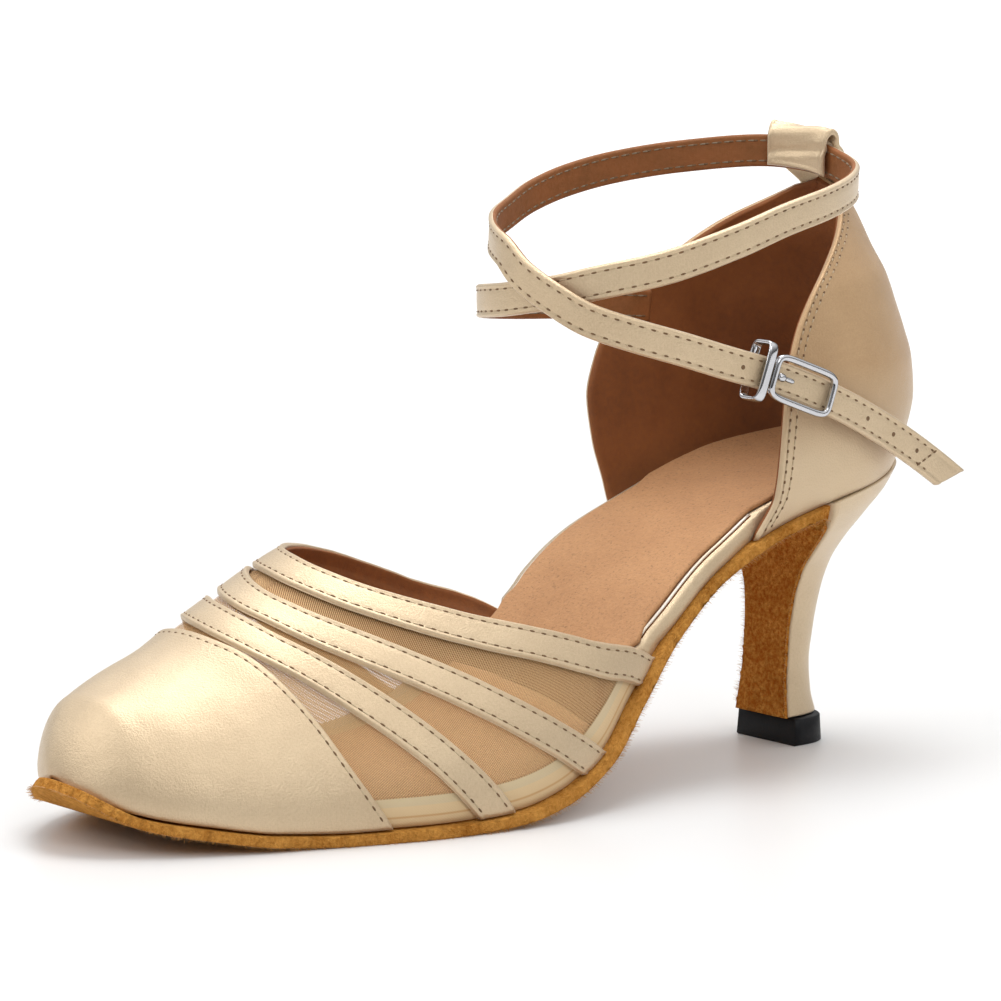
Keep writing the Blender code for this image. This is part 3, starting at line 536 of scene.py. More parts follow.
# Mesh making
def put_mesh(name, points, faces, materials, slots=None, layers=None):
    """Makes an object from points and faces, merges its seams and turns its faces outwards."""
    mesh = bpy.data.meshes.new(name)
    mesh.from_pydata([tuple(p) for p in points], [], faces)
    for material in materials:
        mesh.materials.append(material)
    if slots is not None:
        mesh.polygons.foreach_set("material_index", slots)
    if layers is not None:
        layer = mesh.uv_layers.new(name="cloth")
        loops = np.zeros(len(mesh.loops), dtype=np.int32)
        mesh.loops.foreach_get("vertex_index", loops)
        layer.data.foreach_set("uv", np.asarray(layers, np.float32)[loops].ravel())
    bm = bmesh.new()
    bm.from_mesh(mesh)
    bmesh.ops.remove_doubles(bm, verts=bm.verts, dist=WELD)
    bmesh.ops.dissolve_degenerate(bm, edges=bm.edges, dist=WELD)
    bmesh.ops.recalc_face_normals(bm, faces=bm.faces)
    for face in bm.faces:
        face.smooth = True
    bm.to_mesh(mesh)
    bm.free()
    obj = bpy.data.objects.new(name, mesh)
    bpy.context.scene.collection.objects.link(obj)
    return obj


def run_length(grid, axis):
    """Distance walked along each line of a grid."""
    step = np.linalg.norm(np.diff(grid, axis=axis), axis=-1)
    walked = np.cumsum(step, axis=axis)
    pad = [(0, 0), (0, 0)]
    pad[axis] = (1, 0)
    return np.pad(walked, pad)


def edge_distance(grid, axis, start=True, end=True):
    """How far each point is from the ends of its line, where those ends are to be rounded."""
    walked = run_length(grid, axis)
    last = np.take(walked, [-1], axis=axis)
    far = np.full(walked.shape, 1.0)
    if start:
        far = np.minimum(far, walked)
    if end:
        far = np.minimum(far, last - walked)
    return far


def round_off(distance, radius):
    near = np.clip(distance / radius, 0.0, 1.0)
    return np.sqrt(1 - (1 - near) ** 2)


def rimmed(count, length, radius):
    """Places from 0 to 1 with extra ones close to both ends, where a rim is rounded."""
    near = np.array([0.0, 0.06, 0.2, 0.45, 0.75, 1.0]) * radius / length
    inside = np.linspace(radius / length, 1 - radius / length, count)[1:-1]
    return np.concatenate([near, inside, 1 - near[::-1]])


def two_sided(name, outer, inner, materials, layers=None, inner_slot=0):
    """Closes an outer and an inner grid of points into one shell."""
    rows, columns = outer.shape[:2]
    other = rows * columns
    index = np.arange(other).reshape(rows, columns)
    a, b, c, d = index[:-1, :-1], index[:-1, 1:], index[1:, 1:], index[1:, :-1]
    quads = np.stack([a, b, c, d], axis=-1).reshape(-1, 4)
    faces = np.concatenate([quads, quads[:, ::-1] + other])
    rims = []
    for line in (index[0], index[-1][::-1], index[:, 0][::-1], index[:, -1]):
        rims.append(np.stack([line[1:], line[:-1], line[:-1] + other, line[1:] + other], axis=-1))
    rim = np.concatenate(rims)
    slots = np.concatenate([np.zeros(len(quads)), np.full(len(quads), inner_slot), np.zeros(len(rim))])
    faces = np.concatenate([faces, rim]).tolist()
    points = np.concatenate([outer.reshape(-1, 3), inner.reshape(-1, 3)])
    if layers is not None:
        layers = np.concatenate([layers.reshape(-1, 2)] * 2)
    return put_mesh(name, points, faces, materials, slots.astype(np.int32), layers)


def ring_solid(name, rings, materials):
    """A solid through closed rings of points, capped at both ends."""
    count, around = rings.shape[:2]
    index = np.arange(count * around).reshape(count, around)
    after = np.roll(index, -1, axis=1)
    quads = np.stack([index[:-1], after[:-1], after[1:], index[1:]], axis=-1).reshape(-1, 4)
    faces = quads.tolist() + [index[0][::-1].tolist(), index[-1].tolist()]
    return put_mesh(name, rings.reshape(-1, 3), faces, materials)


def hoop_solid(name, rings, materials):
    """A bar bent into a closed loop, given as the rings of points round it."""
    count, around = rings.shape[:2]
    index = np.arange(count * around).reshape(count, around)
    nxt, after = np.roll(index, -1, axis=0), np.roll(index, -1, axis=1)
    faces = np.stack([index, after, np.roll(after, -1, axis=0), nxt], axis=-1).reshape(-1, 4).tolist()
    return put_mesh(name, rings.reshape(-1, 3), faces, materials)


def cord(name, line, radius, material):
    """A round cord along a line."""
    turn = np.linspace(0, 2 * np.pi, 12, endpoint=False)
    run = unit(np.gradient(line, axis=0))
    side = unit(np.cross(run, np.array([0.0, 0.0, 1.0])))
    other = np.cross(side, run)
    circle = np.cos(turn)[:, None] * side[:, None] + np.sin(turn)[:, None] * other[:, None]
    return ring_solid(name, line[:, None] + radius * circle, [material])


def surface_normals(grid):
    along, across = np.gradient(grid, axis=0), np.gradient(grid, axis=1)
    return unit(np.cross(along, across))


def folded_edge(distance, sizes):
    """Relief of a folded and stitched edge: a bead at the rim and a dip along the stitches."""
    bead = sizes.fold_bead * np.exp(-((distance - sizes.stitch_inset * 0.4) / (0.5 * MM)) ** 2)
    dip = sizes.stitch_dip * np.exp(-((distance - sizes.stitch_inset) / (0.35 * MM)) ** 2)
    return bead - dip


def ride(piece, slot, *nodes):
    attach(piece, "root")
    if nodes:
        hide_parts(*nodes)
    return piece


def wobble(*values):
    """A repeatable uneven value between about -1 and 1."""
    total = 0.0
    for k, value in enumerate(values):
        total = total + np.sin(value * (1.7 + k) + 1.3 * k) * 0.5 + np.sin(value * (4.1 + k) + 2.1) * 0.3
    return total / max(len(values), 1) + 0.2 * np.sin(sum(values) * 9.7)


# Shader building blocks
def new_group(name, inputs, outputs):
    group = bpy.data.node_groups.new(name, "ShaderNodeTree")
    for label, kind, default in inputs:
        socket = group.interface.new_socket(label, in_out="INPUT", socket_type=kind)
        if default is not None:
            socket.default_value = default
    for label, kind in outputs:
        group.interface.new_socket(label, in_out="OUTPUT", socket_type=kind)
    return group, group.nodes.new("NodeGroupInput"), group.nodes.new("NodeGroupOutput")


def node(tree, kind, values=None, **settings):
    """Adds a node. A value that is a socket is linked, any other is set."""
    made = tree.nodes.new(kind)
    for key, value in settings.items():
        setattr(made, key, value)
    for key, value in (values or {}).items():
        if isinstance(value, bpy.types.NodeSocket):
            tree.links.new(value, made.inputs[key])
        else:
            made.inputs[key].default_value = value
    return made


def maths(tree, operation, first, second=0.0):
    return node(tree, "ShaderNodeMath", {0: first, 1: second}, operation=operation).outputs[0]


def blend(tree, factor, first, second, kind="MIX"):
    made = node(tree, "ShaderNodeMix", {0: factor, 6: first, 7: second}, data_type="RGBA", blend_type=kind)
    return made.outputs[2]


def remap(tree, value, low, high, to_low=0.0, to_high=1.0):
    return node(tree, "ShaderNodeMapRange", {0: value, 1: low, 2: high, 3: to_low, 4: to_high}).outputs[0]


def band(tree, value, low, high, soft):
    """1 between two limits and 0 outside them, with soft ends."""
    rising = remap(tree, value, low, low + soft)
    return maths(tree, "MULTIPLY", rising, remap(tree, value, high, high - soft))


def noise(tree, place, scale, detail, roughness=0.5):
    values = {"Vector": place, "Scale": scale, "Detail": detail, "Roughness": roughness}
    return node(tree, "ShaderNodeTexNoise", values).outputs["Fac"]


def opaque(colour, share=1.0):
    """A colour, darkened or lightened by a share, with full cover."""
    return tuple(share * c for c in colour) + (1.0,)


def weave_group():
    """Crossing threads. Height and Tint go up and down with them."""
    tree, start, end = new_group(
        "woven_threads",
        [("Vector", "NodeSocketVector", None),
         ("Threads", "NodeSocketFloat", 1500.0),
         ("Unevenness", "NodeSocketFloat", 1.0)],
        [("Height", "NodeSocketFloat"), ("Tint", "NodeSocketFloat")])
    values = {"Vector": start.outputs["Vector"], "Scale": start.outputs["Threads"],
              "Distortion": start.outputs["Unevenness"], "Detail": 1.0}
    waves = []
    for direction in ("X", "Y", "Z"):
        wave = node(tree, "ShaderNodeTexWave", values, wave_type="BANDS", bands_direction=direction)
        waves.append(wave.outputs["Fac"])
    total = maths(tree, "ADD", maths(tree, "ADD", waves[0], waves[1]), waves[2])
    height = maths(tree, "MULTIPLY", total, 0.333)
    tree.links.new(height, end.inputs["Height"])
    tree.links.new(maths(tree, "SUBTRACT", height, 0.5), end.inputs["Tint"])
    return tree


def mottle_group():
    """Soft uneven patches of two colours with finer flecks over them."""
    tree, start, end = new_group(
        "mottled_colour",
        [("Vector", "NodeSocketVector", None),
         ("Patch Scale", "NodeSocketFloat", 60.0),
         ("Fleck Scale", "NodeSocketFloat", 900.0),
         ("Fleck Share", "NodeSocketFloat", 0.3),
         ("Light", "NodeSocketColor", None),
         ("Dark", "NodeSocketColor", None)],
        [("Colour", "NodeSocketColor"), ("Patches", "NodeSocketFloat"), ("Flecks", "NodeSocketFloat")])
    patch = noise(tree, start.outputs["Vector"], start.outputs["Patch Scale"], 4.0, 0.6)
    fleck = noise(tree, start.outputs["Vector"], start.outputs["Fleck Scale"], 3.0, 0.7)
    patches, flecks = remap(tree, patch, 0.35, 0.65), remap(tree, fleck, 0.3, 0.7)
    share = start.outputs["Fleck Share"]
    mixed = maths(tree, "ADD", maths(tree, "MULTIPLY", patches, maths(tree, "SUBTRACT", 1.0, share)),
                  maths(tree, "MULTIPLY", flecks, share))
    colour = blend(tree, mixed, start.outputs["Dark"], start.outputs["Light"])
    tree.links.new(colour, end.inputs["Colour"])
    tree.links.new(patches, end.inputs["Patches"])
    tree.links.new(flecks, end.inputs["Flecks"])
    return tree


def blank(name, **sockets):
    """A new material, its node tree, its shader and the place of each point on the object."""
    material = bpy.data.materials.new(name)
    material.use_nodes = True
    tree = material.node_tree
    shader = tree.nodes["Principled BSDF"]
    for key, value in sockets.items():
        shader.inputs[key.replace("_", " ")].default_value = value
    place = tree.nodes.new("ShaderNodeTexCoord").outputs["Object"]
    return material, tree, shader, place


def mottled(tree, place, patch, fleck, share, light, dark):
    values = {"Vector": place, "Patch Scale": patch, "Fleck Scale": fleck, "Fleck Share": share,
              "Light": light, "Dark": dark}
    return node(tree, "ShaderNodeGroup", values, node_tree=GROUPS["mottle"]).outputs


def bump(tree, shader, height, strength, distance):
    made = node(tree, "ShaderNodeBump", {"Height": height, "Strength": strength, "Distance": distance})
    tree.links.new(made.outputs[0], shader.inputs["Normal"])
    return made


def cloth_material(name, light, dark, threads=800.0, depth=0.07 * MM, roughness=0.42, metallic=0.0,
                   patch=45.0, fleck=1300.0, share=0.45, sheen=0.2, unevenness=0.6, tint=0.04, waves=0.0,
                   specks=None, shade_fade=None):
    """Woven or napped cloth: mottled colour, thread relief and a little uneven gloss.

    waves is the depth of soft waves in it, specks the colour of small dark spots on it, and the last argument
    a second colour with the heights between which the cloth turns into it downwards: the counter's painted
    shade gives way to the plain satin this way.
    """
    material, tree, shader, place = blank(name, Metallic=metallic, Sheen_Weight=sheen, Sheen_Roughness=0.4)
    colour = mottled(tree, place, patch, fleck, share, opaque(light), opaque(dark))
    weave = node(tree, "ShaderNodeGroup", {"Vector": place, "Threads": threads, "Unevenness": unevenness},
                 node_tree=GROUPS["weave"]).outputs
    shade = maths(tree, "ADD", 1.0, maths(tree, "MULTIPLY", weave["Tint"], tint))
    grey = node(tree, "ShaderNodeCombineColor", {0: shade, 1: shade, 2: shade}).outputs[0]
    tinted = blend(tree, 1.0, colour["Colour"], grey, "MULTIPLY")
    # Used for the counter: its painted shade gives way to the second colour lower down
    if shade_fade:
        second, low, high = shade_fade
        height = node(tree, "ShaderNodeSeparateXYZ", {0: place}).outputs[2]
        tinted = blend(tree, remap(tree, height, high, low, 0.0, 0.8), tinted, opaque(second))
    if specks:
        spot = noise(tree, place, 1700.0, 2.0)
        tinted = blend(tree, remap(tree, spot, 0.58, 0.72, 0.0, 0.5), tinted, opaque(specks))
    tree.links.new(tinted, shader.inputs["Base Color"])
    gloss = maths(tree, "ADD", roughness - 0.06, maths(tree, "MULTIPLY", colour["Flecks"], 0.12))
    tree.links.new(gloss, shader.inputs["Roughness"])
    height = maths(tree, "ADD", maths(tree, "MULTIPLY", weave["Height"], 0.15), colour["Flecks"])
    relief = bump(tree, shader, height, 0.5, depth)
    if waves:
        values = {"Height": noise(tree, place, 95.0, 2.0), "Strength": 1.0, "Distance": waves}
        tree.links.new(node(tree, "ShaderNodeBump", values).outputs[0], relief.inputs["Normal"])
    return material


def net_material(colours, sizes):
    """See-through net: threads on the cloth's own UV map in millimetres, with a solid hem by the sole."""
    material, tree, shader, place = blank("tan_net", Roughness=0.7, Sheen_Weight=0.1)
    uv = node(tree, "ShaderNodeUVMap", uv_map="cloth").outputs[0]
    split = node(tree, "ShaderNodeSeparateXYZ", {0: uv})
    along, up = split.outputs[0], split.outputs[1]
    threads = []
    for across in (maths(tree, "ADD", along, up), maths(tree, "SUBTRACT", along, up)):
        phase = maths(tree, "SINE", maths(tree, "MULTIPLY", across, math.pi / (sizes.net_pitch / MM)))
        threads.append(maths(tree, "ABSOLUTE", phase))
    cell = maths(tree, "MULTIPLY", threads[0], threads[1])
    thread = remap(tree, cell, sizes.net_thread, sizes.net_thread * 0.5)
    hem = remap(tree, up, *HEM_END)
    # The hem's fold and the band over the ribbon take the shade colour: painted shade
    ribbon, fold_shade, shadow = (band(tree, up, *limits) for limits in (RIBBON, HEM_FOLD_SHADE, RIBBON_SHADOW))
    solid = maths(tree, "MAXIMUM", hem, ribbon)
    look = mottled(tree, place, 70.0, 1500.0, 0.4, opaque(colours.net_light), opaque(colours.net_dark))
    shade = opaque(colours.net_shade)
    twill = blend(tree, remap(tree, threads[0], 0.25, 0.75), shade, look["Colour"])
    edge = blend(tree, ribbon, opaque(colours.hem), opaque(colours.ribbon))
    edge = blend(tree, fold_shade, edge, shade)
    base = blend(tree, maths(tree, "MULTIPLY", shadow, 0.7), blend(tree, solid, twill, edge), shade)
    tree.links.new(base, shader.inputs["Base Color"])
    tree.links.new(maths(tree, "MAXIMUM", thread, solid), shader.inputs["Alpha"])
    bump(tree, shader, thread, 0.4, 0.1 * MM)
    return material


def suede_material(name, light, dark, breast_shade=None, depth=0.35 * MM):
    """Napped leather. Its third colour, when given, is a deeper tone that mixes in down the heel's front:
    painted shade under the arch.
    """
    material, tree, shader, place = blank(name, Roughness=0.95, Specular_IOR_Level=0.05)
    colour = mottled(tree, place, 130.0, 1100.0, 0.55, opaque(light), opaque(dark))
    shade = colour["Colour"]
    if breast_shade:
        # Painted shade: the suede turns deeper down the heel's front, under the arch
        back = node(tree, "ShaderNodeSeparateXYZ", {0: place}).outputs[1]
        heelwards = remap(tree, back, BREAST_PLACE - SOLE_BEND, BREAST_PLACE - FIT - BREAST_COVER)
        deep = blend(tree, colour["Flecks"], opaque(breast_shade), colour["Colour"])
        shade = blend(tree, maths(tree, "MULTIPLY", heelwards, 0.8), colour["Colour"], deep)
    tree.links.new(shade, shader.inputs["Base Color"])
    nap = noise(tree, place, 2200.0, 4.0)
    bump(tree, shader, maths(tree, "ADD", nap, colour["Flecks"]), 0.8, depth)
    return material


def metal_material(name, colour):
    """Polished plating that darkens towards its rims, a painted dark reflection."""
    material, tree, shader, place = blank(name, Metallic=1.0)
    look = mottled(tree, place, 120.0, 2500.0, 0.3, opaque(colour), opaque(colour, 0.86))
    # Painted reflection: the plating turns near black towards its rims, as of dark surroundings
    rim = node(tree, "ShaderNodeLayerWeight", {"Blend": 0.5}).outputs["Facing"]
    tree.links.new(blend(tree, remap(tree, rim, 0.42, 0.80), look["Colour"], (0.02, 0.02, 0.025, 1.0)),
                   shader.inputs["Base Color"])
    tree.links.new(remap(tree, look["Patches"], 0.0, 1.0, 0.08, 0.17), shader.inputs["Roughness"])
    bump(tree, shader, look["Flecks"], 0.05, 0.05 * MM)
    return material


def rubber_material(name, colour):
    material, tree, shader, place = blank(name, Specular_IOR_Level=0.2)
    look = mottled(tree, place, 200.0, 1800.0, 0.5, opaque(colour, 1.7), opaque(colour))
    tree.links.new(look["Colour"], shader.inputs["Base Color"])
    tree.links.new(remap(tree, look["Flecks"], 0.0, 1.0, 0.35, 0.55), shader.inputs["Roughness"])
    bump(tree, shader, look["Flecks"], 0.15, 0.1 * MM)
    return material


def thread_material(name, colour):
    material, tree, shader, place = blank(name, Roughness=0.6, Sheen_Weight=0.2)
    wave = node(tree, "ShaderNodeTexWave", {"Vector": place, "Scale": 2600.0, "Distortion": 1.0},
                bands_direction="DIAGONAL").outputs["Fac"]
    twisted = blend(tree, wave, opaque(colour, 0.7), opaque(colour))
    tree.links.new(twisted, shader.inputs["Base Color"])
    bump(tree, shader, wave, 0.4, 0.08 * MM)
    return material


# Stitches and fibres that follow a line
def new_tree(name, sizes, finishes):
    """An empty Geometry Nodes tree with named sizes and materials, and a way to add nodes to it."""
    tree = bpy.data.node_groups.new(name, "GeometryNodeTree")
    face = tree.interface
    face.new_socket("Geometry", in_out="OUTPUT", socket_type="NodeSocketGeometry")
    face.new_socket("Geometry", in_out="INPUT", socket_type="NodeSocketGeometry")
    for label, default in sizes:
        kind = "NodeSocketInt" if isinstance(default, int) else "NodeSocketFloat"
        face.new_socket(label, in_out="INPUT", socket_type=kind).default_value = default
    for label in finishes:
        face.new_socket(label, in_out="INPUT", socket_type="NodeSocketMaterial")

    def put(kind, values=None, **settings):
        return node(tree, kind, values, **settings)

    return tree, tree.nodes.new("NodeGroupInput"), tree.nodes.new("NodeGroupOutput"), put


def stitch_tree():
    """Geometry Nodes: threads and needle holes along every line of a mesh of edges. The holes are dark marks
    of painted shade.
    """
    tree, start, end, put = new_tree(
        "stitch_rows",
        (("Pitch", 3.6 * MM), ("Thread Length", 2.7 * MM), ("Thread Thickness", 0.45 * MM),
         ("Hole Size", 0.5 * MM), ("Hole Length", 1.0 * MM)),
        ("Thread Finish", "Hole Finish"))
    pitch = start.outputs["Pitch"]
    curve = put("GeometryNodeMeshToCurve", {"Mesh": start.outputs["Geometry"]}).outputs["Curve"]
    values = {"Curve": curve, "Length": pitch}
    holes = put("GeometryNodeResampleCurve", values, mode="LENGTH").outputs["Curve"]
    # The threads lie half a pitch further on than the holes
    on = put("GeometryNodeTrimCurve", {"Curve": holes}, mode="LENGTH")
    tree.links.new(maths(tree, "MULTIPLY", pitch, 0.5), on.inputs[4])
    tree.links.new(put("GeometryNodeSplineLength").outputs["Length"], on.inputs[5])
    values = {"Curve": on.outputs["Curve"], "Length": pitch}
    threads = put("GeometryNodeResampleCurve", values, mode="LENGTH").outputs["Curve"]
    tangent = put("GeometryNodeInputTangent").outputs["Tangent"]
    turn = put("FunctionNodeAlignRotationToVector", {"Vector": tangent}, axis="Z").outputs["Rotation"]
    ball = put("GeometryNodeMeshUVSphere", {"Segments": 8, "Rings": 6, "Radius": 0.5}).outputs["Mesh"]
    shape = put("GeometryNodeSetShadeSmooth", {"Geometry": ball}).outputs["Geometry"]
    joined = put("GeometryNodeJoinGeometry")
    for points, thick, long, finish in ((holes, "Hole Size", "Hole Length", "Hole Finish"),
                                        (threads, "Thread Thickness", "Thread Length", "Thread Finish")):
        size = {0: start.outputs[thick], 1: start.outputs[thick], 2: start.outputs[long]}
        values = {"Points": points, "Instance": shape, "Rotation": turn,
                  "Scale": put("ShaderNodeCombineXYZ", size).outputs[0]}
        placed = put("GeometryNodeInstanceOnPoints", values).outputs["Instances"]
        real = put("GeometryNodeRealizeInstances", {"Geometry": placed}).outputs["Geometry"]
        values = {"Geometry": real, "Material": start.outputs[finish]}
        coated = put("GeometryNodeSetMaterial", values).outputs["Geometry"]
        tree.links.new(coated, joined.inputs["Geometry"])
    tree.links.new(joined.outputs["Geometry"], end.inputs["Geometry"])
    return tree


def fibre_tree():
    """Geometry Nodes: short loose fibres that stand out from a line, each at its own slant."""
    tree, start, end, put = new_tree(
        "loose_fibres",
        (("Spacing", 0.5 * MM), ("Fibre Length", 0.9 * MM), ("Fibre Thickness", 0.07 * MM), ("Seed", 3)),
        ("Fibre Finish",))
    curve = put("GeometryNodeMeshToCurve", {"Mesh": start.outputs["Geometry"]}).outputs["Curve"]
    values = {"Curve": curve, "Length": start.outputs["Spacing"]}
    points = put("GeometryNodeResampleCurve", values, mode="LENGTH").outputs["Curve"]
    thick = start.outputs["Fibre Thickness"]
    fibre = put("GeometryNodeMeshCone", {
        "Vertices": 3, "Radius Bottom": thick, "Radius Top": maths(tree, "MULTIPLY", thick, 0.3),
        "Depth": start.outputs["Fibre Length"]}).outputs["Mesh"]
    astray = put("FunctionNodeRandomValue", {"Seed": start.outputs["Seed"]}, data_type="FLOAT_VECTOR")
    astray.inputs["Min"].default_value = (-0.5, -0.5, -0.1)
    astray.inputs["Max"].default_value = (0.5, 0.5, 0.4)
    outward = put("GeometryNodeInputNamedAttribute", {"Name": "outward"}, data_type="FLOAT_VECTOR").outputs[0]
    way = put("ShaderNodeVectorMath", {0: outward, 1: astray.outputs[0]}, operation="ADD").outputs[0]
    slant = put("FunctionNodeAlignRotationToVector", {"Vector": way}, axis="Z").outputs[0]
    values = {"Seed": start.outputs["Seed"], 2: 0.25, 3: 1.25}
    size = put("FunctionNodeRandomValue", values, data_type="FLOAT").outputs[1]
    values = {"Points": points, "Instance": fibre, "Rotation": slant, "Scale": size}
    placed = put("GeometryNodeInstanceOnPoints", values).outputs["Instances"]
    real = put("GeometryNodeRealizeInstances", {"Geometry": placed}).outputs["Geometry"]
    values = {"Geometry": real, "Material": start.outputs["Fibre Finish"]}
    tree.links.new(put("GeometryNodeSetMaterial", values).outputs["Geometry"], end.inputs["Geometry"])
    return tree


def along_lines(name, lines, tree, inputs, outward=None):
    """Runs a tree over open lines of points and keeps the result as a plain mesh.

    outward gives each point of the lines a direction, which the tree may read.
    """
    mesh = bpy.data.meshes.new(name + "_lines")
    points, edges = [], []
    for line in lines:
        first = len(points)
        points += [tuple(p) for p in line]
        edges += [(first + k, first + k + 1) for k in range(len(line) - 1)]
    mesh.from_pydata(points, edges, [])
    if outward is not None:
        layer = mesh.attributes.new("outward", "FLOAT_VECTOR", "POINT")
        layer.data.foreach_set("vector", np.concatenate(outward).astype(np.float32).ravel())
    guide = bpy.data.objects.new(name + "_lines", mesh)
    bpy.context.scene.collection.objects.link(guide)
    modifier = guide.modifiers.new("rows", "NODES")
    modifier.node_group = tree
    names = {item.name: item.identifier for item in tree.interface.items_tree if item.in_out == "INPUT"}
    for label, value in inputs.items():
        modifier[names[label]] = value
    bpy.context.view_layer.update()
    ready = guide.evaluated_get(bpy.context.evaluated_depsgraph_get())
    made = bpy.data.meshes.new_from_object(ready, depsgraph=bpy.context.evaluated_depsgraph_get())
    made.name = name
    bpy.data.objects.remove(guide)
    obj = bpy.data.objects.new(name, made)
    bpy.context.scene.collection.objects.link(obj)
    return obj


def stitched(name, lines, sizes, finish="thread", pitch=None, thread=None, hole=None):
    """Sews a row along each line. pitch, thread and hole are its own lengths where it has them."""
    inputs = {"Pitch": pitch or sizes.stitch_pitch, "Thread Length": thread or sizes.stitch_length,
              "Thread Thickness": sizes.thread_thickness, "Hole Size": sizes.hole_size,
              "Hole Length": hole or sizes.hole_length,
              "Thread Finish": FINISH[finish], "Hole Finish": FINISH["hole_shade"]}
    return ride(along_lines(name, lines, TREES["stitch"], inputs), "champagne_satin")


GROUPS, TREES, FINISH = {}, {}, {}


class ShoeSizes(bpy.types.PropertyGroup):
    """Sizes of the sewn, woven and worn detail."""
    stitch_pitch: bpy.props.FloatProperty(
        name="Stitch pitch", description="Distance between needle holes",
        default=2.7 * MM, unit="LENGTH")
    stitch_length: bpy.props.FloatProperty(
        name="Stitch length", description="Length of thread seen between holes",
        default=1.9 * MM, unit="LENGTH")
    thread_thickness: bpy.props.FloatProperty(
        name="Thread thickness", description="Thickness of the sewing thread",
        default=0.38 * MM, unit="LENGTH")
    hole_size: bpy.props.FloatProperty(
        name="Needle hole", description="Width of a needle hole",
        default=0.46 * MM, unit="LENGTH")
    hole_length: bpy.props.FloatProperty(
        name="Needle hole length", description="Length of a needle hole",
        default=1.35 * MM, unit="LENGTH")
    stitch_inset: bpy.props.FloatProperty(
        name="Stitch inset", description="Distance of a stitch row from its edge",
        default=1.35 * MM, unit="LENGTH")
    stitch_dip: bpy.props.FloatProperty(
        name="Stitch dip", description="How far a row pulls the cloth in",
        default=0.16 * MM, unit="LENGTH")
    fold_bead: bpy.props.FloatProperty(
        name="Fold bead", description="How far a folded edge stands proud",
        default=0.14 * MM, unit="LENGTH")
    edge_radius: bpy.props.FloatProperty(
        name="Edge radius", description="Rounding of folded edges",
        default=0.7 * MM, unit="LENGTH")
    fibre_length: bpy.props.FloatProperty(
        name="Fibre length", description="Length of loose fibres at the sole's edge",
        default=1.1 * MM, unit="LENGTH")
    net_pitch: bpy.props.FloatProperty(
        name="Net pitch", description="Distance between the net's threads",
        default=0.66 * MM, unit="LENGTH")
    net_thread: bpy.props.FloatProperty(
        name="Net threads", description="How far the threads close the net's cells",
        default=0.33, subtype="FACTOR")


